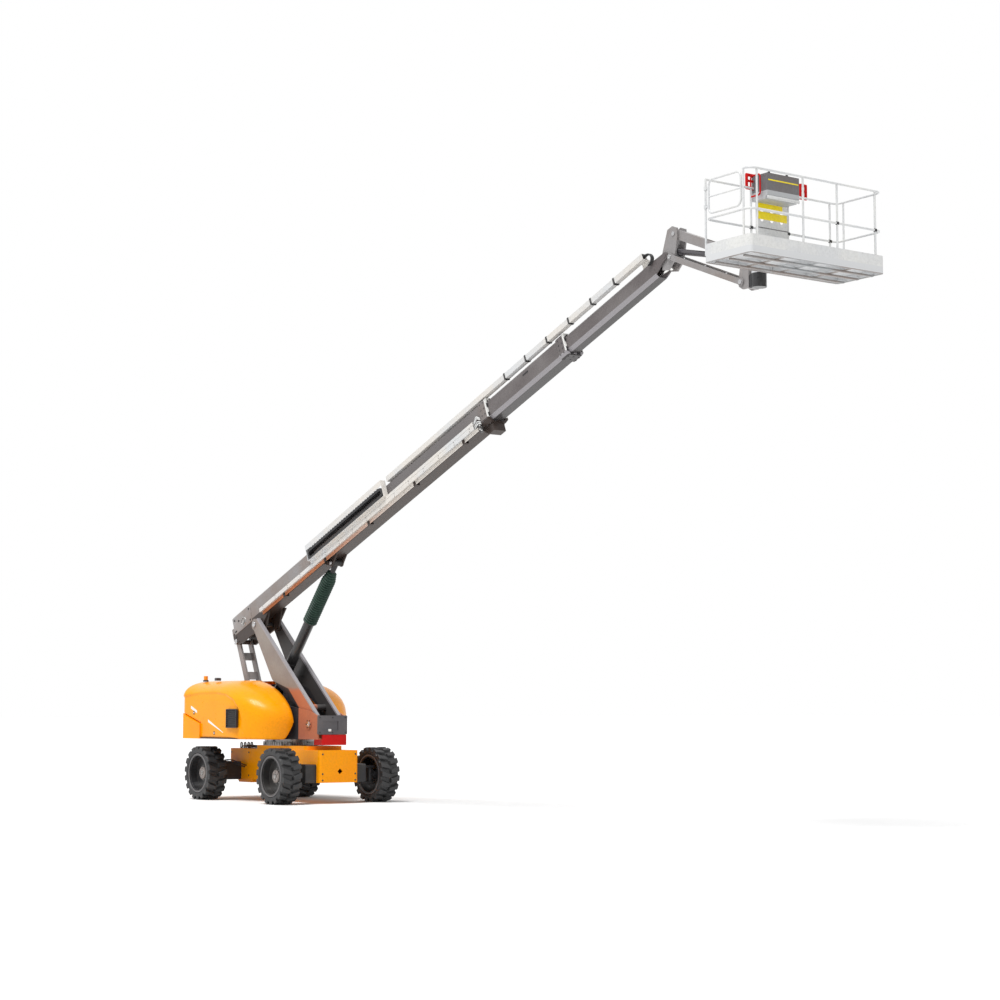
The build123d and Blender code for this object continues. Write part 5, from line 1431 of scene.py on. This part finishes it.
@dataclass
class Boom:
    """Collar bolts, wear pads, tray screws, foot hoses and hose clips on the boom's three sections."""

    base: Section = Section(0.190, 0.124, 0.534, 8.362)
    mid: Section = Section(0.160, 0.1515, 0.5065, 10.620)
    tip: Section = Section(0.1325, 0.179, 0.479)
    collar: float = 0.018
    foot_hose_y: tuple[float, ...] = (-0.085, -0.050, -0.015, 0.020, 0.055, 0.090)
    tip_hose_y: tuple[float, ...] = (-0.175, -0.150, -0.125)
    boss: tuple[float, float] = (-0.482, 0.276)

    def collar_bolts(self, outer: Section) -> list[Shape]:
        """Bolt heads on the four faces of a collar, in two rows along the boom.

        Args:
            outer: The tube that ends in the collar.

        Returns:
            Points and quads, face by face.
        """
        along = np.array([outer.end - 0.150, outer.end - 0.060])
        half, low, high = outer.half, outer.low, outer.high
        e, n = (g.ravel() for g in np.meshgrid(along, np.linspace(low + 0.05, high - 0.05, 4)))
        e2, y2 = (g.ravel() for g in np.meshgrid(along, np.linspace(-half + 0.05, half - 0.05, 3)))
        _, left, up = boom_axes()
        wide = half + self.collar
        faces = [(boom_at(e, s * wide, n), s * left) for s in (1, -1)]
        faces += [(boom_at(e2, y2, high + self.collar), up), (boom_at(e2, y2, low - self.collar), -up)]
        return [studs(places, axis, *BOLT) for places, axis in faces]

    def pads(self, outer: Section, inner: Section) -> list[Shape]:
        """Wear pads that look out of a collar, two on each face of the section inside it.

        Args:
            outer: Tube with the collar.
            inner: Tube that slides in it.

        Returns:
            Points and quads, pad by pad.
        """
        start, stop = outer.end - 0.03, outer.end + 0.012
        mid = (inner.low + inner.high) / 2
        boxes = []
        for n in (mid - 0.085, mid + 0.085):
            for s in SIDES:
                y0, y1 = sorted((s * (inner.half + 0.002), s * (outer.half - 0.004)))
                boxes.append(((start, y0, n - 0.036), (stop, y1, n + 0.036)))
        for y in (-0.07, 0.07):
            for n in (inner.low - 0.024, inner.high + 0.002):
                boxes.append(((start, y - 0.032, n), (stop, y + 0.032, n + 0.022)))
        return [boom_box(low, high, 0.003) for low, high in boxes]

    def foot(self) -> None:
        """Makes bolts, hoses, plates, bosses and studs at the boom's foot."""
        spots = boom_run([(-0.86, 0.20), (-0.86, 0.10), (-0.80, -0.02)], 0.0)
        feet = [studs(spots + (0, s * 0.190, 0), (0, s, 0), 0.014, 0.012) for s in SIDES]
        make_piece("foot_bolts", feet, "black", "boom")
        hoses = []
        for k, y in enumerate(self.foot_hose_y):
            swing = 0.10 + 0.018 * (k % 3)
            run = [(-0.82, 0.42), (-0.92 - swing * 0.6, 0.40), (-0.95 - swing, 0.29)]
            run += [(-0.93 - swing * 0.7, 0.17), (-0.84, 0.155)]
            hoses.append(hose(boom_run(run, y), 0.013))
        make_piece("boom_foot_hoses", hoses, "hose", "boom")
        e, n = self.boss
        plates = [boom_box((-0.88, y, 0.150), (-0.16, y + 0.009, 0.490), 0.003) for y in (-0.197, 0.188)]
        make_piece("foot_plates", plates, "grey", "boom")
        bosses = [ring_bead(boom_at(e, s * 0.196, n), (0, s, 0), 0.080, 0.014, 40) for s in SIDES]
        make_piece("foot_bosses", bosses + pin_pair(boom_at(e, 0.0, n), 0.194, 0.046, 0.016), "ring", "boom")
        spots = boom_run([(-0.822, 0.43), (-0.822, 0.20), (-0.22, 0.43), (-0.22, 0.20), (-0.66, 0.36)], 0.0)
        fittings = [studs(spots + (0, s * 0.197, 0), (0, s, 0), 0.016, 0.012) for s in SIDES]
        make_piece("foot_studs", fittings, "black", "boom")

    def tray_end(self) -> None:
        """Makes hoses, blocks and studs where the tray ends."""
        ends = []
        for k, n in enumerate((0.165, 0.195, 0.245, 0.270)):
            run = [(7.93, n), (8.00, n + 0.012), (8.06, n + 0.035 + 0.01 * k), (8.12, n + 0.02)]
            run.append((8.155, n - 0.005))
            ends.append(hose(boom_run(run, -0.218), 0.011, 30))
        make_piece("tray_end_hoses", ends, "rail", "boom")
        blocks = [boom_box((8.03, -0.214, 0.135), (8.13, -0.186, 0.215), 0.005),
                  boom_box((8.07, -0.214, 0.03), (8.15, -0.180, 0.115), 0.005)]
        make_piece("tray_end_blocks", blocks, "black", "boom")
        spots = boom_run([(8.055, 0.195), (8.105, 0.155), (8.09, 0.09), (8.13, 0.05)], -0.214)
        make_piece("tray_end_studs", [studs(spots, RIGHT, *BOLT)], "pale", "boom")

    def build(self) -> None:
        """Makes the boom's small pieces, section by section."""
        rows = (("base", "boom", self.base, self.mid), ("mid", "section_2", self.mid, self.tip))
        for name, body, outer, inner in rows:
            make_piece(name + "_collar_bolts", self.collar_bolts(outer), "dark", body)
            make_piece(name + "_wear_pads", self.pads(outer, inner), "plastic", body)
        places = np.linspace(0.40, 7.85, 16)
        screws = [studs(boom_at(places, -0.25, n), RIGHT, 0.006, 0.005) for n in (0.165, 0.211)]
        make_piece("tray_screws", screws, "black", "boom")
        self.foot()
        self.tray_end()
        slot = boom_box((9.42, -0.1635, 0.385), (9.58, -0.157, 0.415), 0.003)
        make_piece("mid_slot", [slot], "plastic", "section_2")
        run = [(12.80, 0.60), (12.90, 0.605), (12.985, 0.57), (13.01, 0.50), (12.97, 0.44), (12.90, 0.42)]
        make_piece("tip_hoses", [hose(boom_run(run, y), 0.010) for y in self.tip_hose_y], "hose", "section_3")
        places = np.arange(9.0, 12.7, 0.62)
        clips = [boom_box((e - 0.02, -0.196, 0.555), (e + 0.02, -0.094, 0.668), 0.004) for e in places]
        make_piece("carrier_clips", clips, "black", "section_3")


@dataclass
class Jib:
    """Pin caps and clipped hoses on the jib's two arms."""

    low: Triple = (11.3408, 0.0, 8.5300)
    top: Triple = (11.4008, 0.0, 8.8800)
    arm_out: float = 0.129
    cheek_out: float = 0.099
    cap: tuple[float, float] = (0.034, 0.014)
    hose_y: tuple[float, float] = (-0.1235, -0.1115)
    hose_up: float = 0.0525

    def build(self) -> None:
        """Makes the caps and the hoses of the jib."""
        c, s = math.cos(math.radians(JIB_ANGLE)), math.sin(math.radians(JIB_ANGLE))
        along, square = np.array([c, 0, s]), np.array([-s, 0, c])
        low, top = np.array(self.low), np.array(self.top)
        step = along * JIB_LEN
        lower = pin_pair(low, self.arm_out, *self.cap) + pin_pair(low + step, self.arm_out, *self.cap)
        make_piece("jib_low_caps", lower, "steel", "jib_low")
        make_piece("knuckle_top_caps", pin_pair(top, self.cheek_out, *self.cap), "steel", "knuckle")
        make_piece("post_top_caps", pin_pair(top + step, self.cheek_out, *self.cap), "steel", "post")
        d = np.array([0.10, 0.3, 0.7, 1.1, 1.45, 1.60])[:, None]
        line = low + d * along + self.hose_up * square
        runs = [tube(smooth_path(line + (0, y, 0), 30), 0.0058, 8, LEFT) for y in self.hose_y]
        make_piece("jib_hoses", runs, "hose", "jib_low")
        frame = np.array([along, LEFT, square])
        clips = [soft_box((-0.014, -0.130, 0.043), (0.014, -0.105, 0.060), 0.003, frame, low + d * along)
                 for d in (0.35, 0.85, 1.35)]
        make_piece("jib_hose_clips", clips, "steel", "jib_low")


@dataclass
class Platform:
    """Console fittings, blank plates, rail sleeves and floor ribs of the platform."""

    pin: tuple[float, float] = (12.9055, 7.8914)
    panel_x: tuple[float, float] = (0.584, 0.591)
    sleeves: tuple[Triple, ...] = (
        (1.475, 1.14, 0.022), (1.475, 0.38, 0.022), (0.565, 1.14, 0.026), (0.565, 0.30, 0.026),
        (0.565, -0.42, 0.026),
    )
    rail_r: float = 0.0175
    mid_z: float = 0.659
    console_z: float = 1.372
    lever_axis: Triple = (0.12, 0, 1)

    def at(self, x: float, y: float, z: float) -> Array:
        """A point given from the platform's lower pin."""
        return np.array([self.pin[0] + x, y, self.pin[1] + z])

    def box(self, x: Span, y: Span, z: Span, edge: float) -> Shape:
        """A soft box between pairs of places, given from the platform's lower pin."""
        return soft_box(self.at(x[0], y[0], z[0]), self.at(x[1], y[1], z[1]), edge)

    def sleeve(self, x: float, y: float, half: float) -> Shape:
        """A turned sleeve with rounded rims round a middle rail."""
        r, wide = self.rail_r, self.rail_r + 0.007
        profile = [[r, -half], [wide, -half + 0.004], [wide, half - 0.004], [r, half]]
        return turned(profile, self.at(x, y, self.mid_z), LEFT, 20)

    def handles(self) -> list[Shape]:
        """The bars of both grab plates.

        Returns:
            Points and quads, bar by bar.
        """
        bars = []
        for y0, y1 in ((-0.51, -0.33), (0.54, 0.69)):
            uprights = ((y0, y0 + 0.04), (y1 - 0.04, y1))
            bars += [self.box((0.535, 0.575), y, (1.215, 1.435), 0.016) for y in uprights]
            levels = ((1.205, 1.255), (1.315, 1.350), (1.395, 1.440))
            bars += [self.box((0.537, 0.573), (y0, y1), z, 0.014) for z in levels]
        return bars

    def controls(self) -> None:
        """Makes the boots, the sticks and the stop button on the console."""
        fold = np.linspace(0, 1, 25)
        boot = np.stack([0.042 - 0.028 * fold + 0.004 * np.cos(8 * np.pi * fold), 0.055 * fold], axis=-1)
        boot = np.concatenate([boot, [[0.0, 0.055]]])
        grip = [[0.0, 0.05], [0.010, 0.05], [0.010, 0.058], [0.019, 0.064], [0.021, 0.076], [0.017, 0.086],
                [0.008, 0.090], [0.0, 0.091]]
        stop = [[0.0, 0.0], [0.016, 0.0], [0.016, 0.014], [0.026, 0.016], [0.026, 0.026], [0.018, 0.033],
                [0.0, 0.035]]
        seats = [self.at(0.74, y, self.console_z) for y in (-0.24, 0.11)]
        boots = [turned(boot, seat, self.lever_axis, 24) for seat in seats]
        make_piece("control_boots", boots, "hose", "platform")
        sticks = [turned(grip, seat, self.lever_axis, 20) for seat in seats]
        make_piece("control_sticks", sticks, "plastic", "platform")
        button = turned(stop, self.at(0.76, -0.065, self.console_z), self.lever_axis, 24)
        make_piece("stop_button", [button], "red", "platform")

    def build(self) -> None:
        """Makes the platform's small pieces."""
        spots = (((-0.34, 0.17), (0.925, 1.034)), ((-0.34, 0.255), (0.800, 0.912)))
        plates = [self.box(self.panel_x, y, z, 0.002) for y, z in spots]
        make_piece("blank_plates_rear", plates, "yellow", "platform")
        make_piece("rail_sleeves", [self.sleeve(*place) for place in self.sleeves], "plastic", "platform")
        line = self.box((0.852, 0.858), (-0.352, 0.232), (1.300, 1.318), 0.002)
        make_piece("console_line", [line], "yellow", "platform")
        make_piece("grab_plates", self.handles(), "red", "platform")
        seam = self.box(self.panel_x, (-0.348, 0.268), (0.672, 0.684), 0.002)
        make_piece("panel_seam", [seam], "dark", "platform")
        bar = self.box((0.846, 0.866), (-0.372, 0.252), (1.034, 1.080), 0.006)
        make_piece("console_frame_bar", [bar], "rail", "platform")
        beams = [self.box((x, x + 0.05), (-1.24, 1.24), (0.016, 0.041), 0.006) for x in (0.70, 0.99, 1.28)]
        make_piece("floor_beams", beams, "floor", "platform")
        self.controls()


@dataclass
class Studio:
    """White surroundings with a shadow on the floor, soft light, and the camera of the photo."""

    camera_at: Triple = (35.694, -20.976, 1.706)
    azimuth: float = 54.019
    pitch: float = 5.594
    lens: float = 77.32
    sensor: float = 36.0
    far: float = 2000.0
    fill: float = 0.48
    sun: float = 2.85
    sun_width: float = 24.0
    sun_tilt: float = 24.0
    sun_turn: float = 20.0
    floor_half: float = 400.0
    floor_grey: float = 0.9

    def placed(self, name: str, data: bpy.types.ID) -> Thing:
        """A new object in the scene."""
        obj = bpy.data.objects.new(name, data)
        bpy.context.scene.collection.objects.link(obj)
        return obj

    def floor(self) -> Thing:
        """A broad pale floor: a level sheet over an even grid of x and y.

        Returns:
            The floor.
        """
        side = np.linspace(-self.floor_half, self.floor_half, 9)
        x, y = np.meshgrid(side, side, indexing="ij")
        points = np.stack([x, y, np.zeros_like(x)], axis=-1).reshape(-1, 3)
        mesh = bpy.data.meshes.new("studio_floor")
        mesh.from_pydata(points.tolist(), [], grid_quads(len(side), len(side)).tolist())
        mat = bpy.data.materials.new("studio_floor")
        mat.use_nodes = True
        mat.node_tree.nodes.clear()
        graph = Graph(mat.node_tree)
        matte = graph.add("ShaderNodeBsdfDiffuse", {"Color": (*[self.floor_grey] * 3, 1.0)})
        graph.add("ShaderNodeOutputMaterial", {0: matte.outputs[0]})
        mesh.materials.append(mat)
        return self.placed("studio_floor", mesh)

    def world(self) -> None:
        """White for camera, glossy and transmission rays, and a soft fill for all others."""
        world = bpy.data.worlds.new("studio_world")
        world.use_nodes = True
        world.node_tree.nodes.clear()
        graph = Graph(world.node_tree)
        path = graph.add("ShaderNodeLightPath").outputs
        seen = graph.calc("MAXIMUM", path["Is Glossy Ray"], path["Is Transmission Ray"])
        seen = graph.calc("MAXIMUM", path["Is Camera Ray"], seen)
        strength = graph.span(seen, 0.0, 1.0, self.fill, 1.0)
        shade = graph.add("ShaderNodeBackground", {"Color": (1, 1, 1, 1), "Strength": strength})
        graph.add("ShaderNodeOutputWorld", {0: shade.outputs[0]})
        bpy.context.scene.world = world

    def lamp(self) -> Thing:
        """A broad sun from above, behind the camera's left shoulder.

        Returns:
            The sun.
        """
        data = bpy.data.lights.new("studio_sun", "SUN")
        data.energy = self.sun
        data.angle = math.radians(self.sun_width)
        obj = self.placed("studio_sun", data)
        obj.rotation_euler = (math.radians(self.sun_tilt), 0.0, math.radians(self.sun_turn))
        return obj

    def camera(self) -> Thing:
        """The camera at the photo's place and angle.

        Returns:
            The camera.
        """
        data = bpy.data.cameras.new("photo_camera")
        data.lens = self.lens
        data.sensor_width = self.sensor
        data.clip_end = self.far
        obj = self.placed("photo_camera", data)
        obj.location = self.camera_at
        obj.rotation_euler = (math.radians(90.0 + self.pitch), 0.0, math.radians(self.azimuth))
        bpy.context.scene.camera = obj
        return obj

    def build(self) -> None:
        """Sets up floor, world, light and camera."""
        self.world()
        self.floor()
        self.lamp()
        self.camera()
        bpy.context.scene.view_settings.view_transform = "Standard"
        LOG.info("studio set up")


def main() -> None:
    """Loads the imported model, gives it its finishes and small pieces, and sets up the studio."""
    logging.basicConfig(level=logging.INFO, format="%(name)s: %(message)s")
    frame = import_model()
    dress_nodes(frame["nodes"])
    for end, x in (("front", WHEEL_X), ("rear", -WHEEL_X)):
        for hand, side in (("left", 1), ("right", -1)):
            Wheel(f"{end}_{hand}", x, side).build()
    hoods = Hood("left_hood", "hood_left", 1), Hood("right_hood", "hood_right", -1)
    for part in (Chassis(), Turntable(), *hoods, Linkage(), Boom(), Jib(), Platform(), Studio()):
        part.build()


if __name__ == "__main__":
    main()
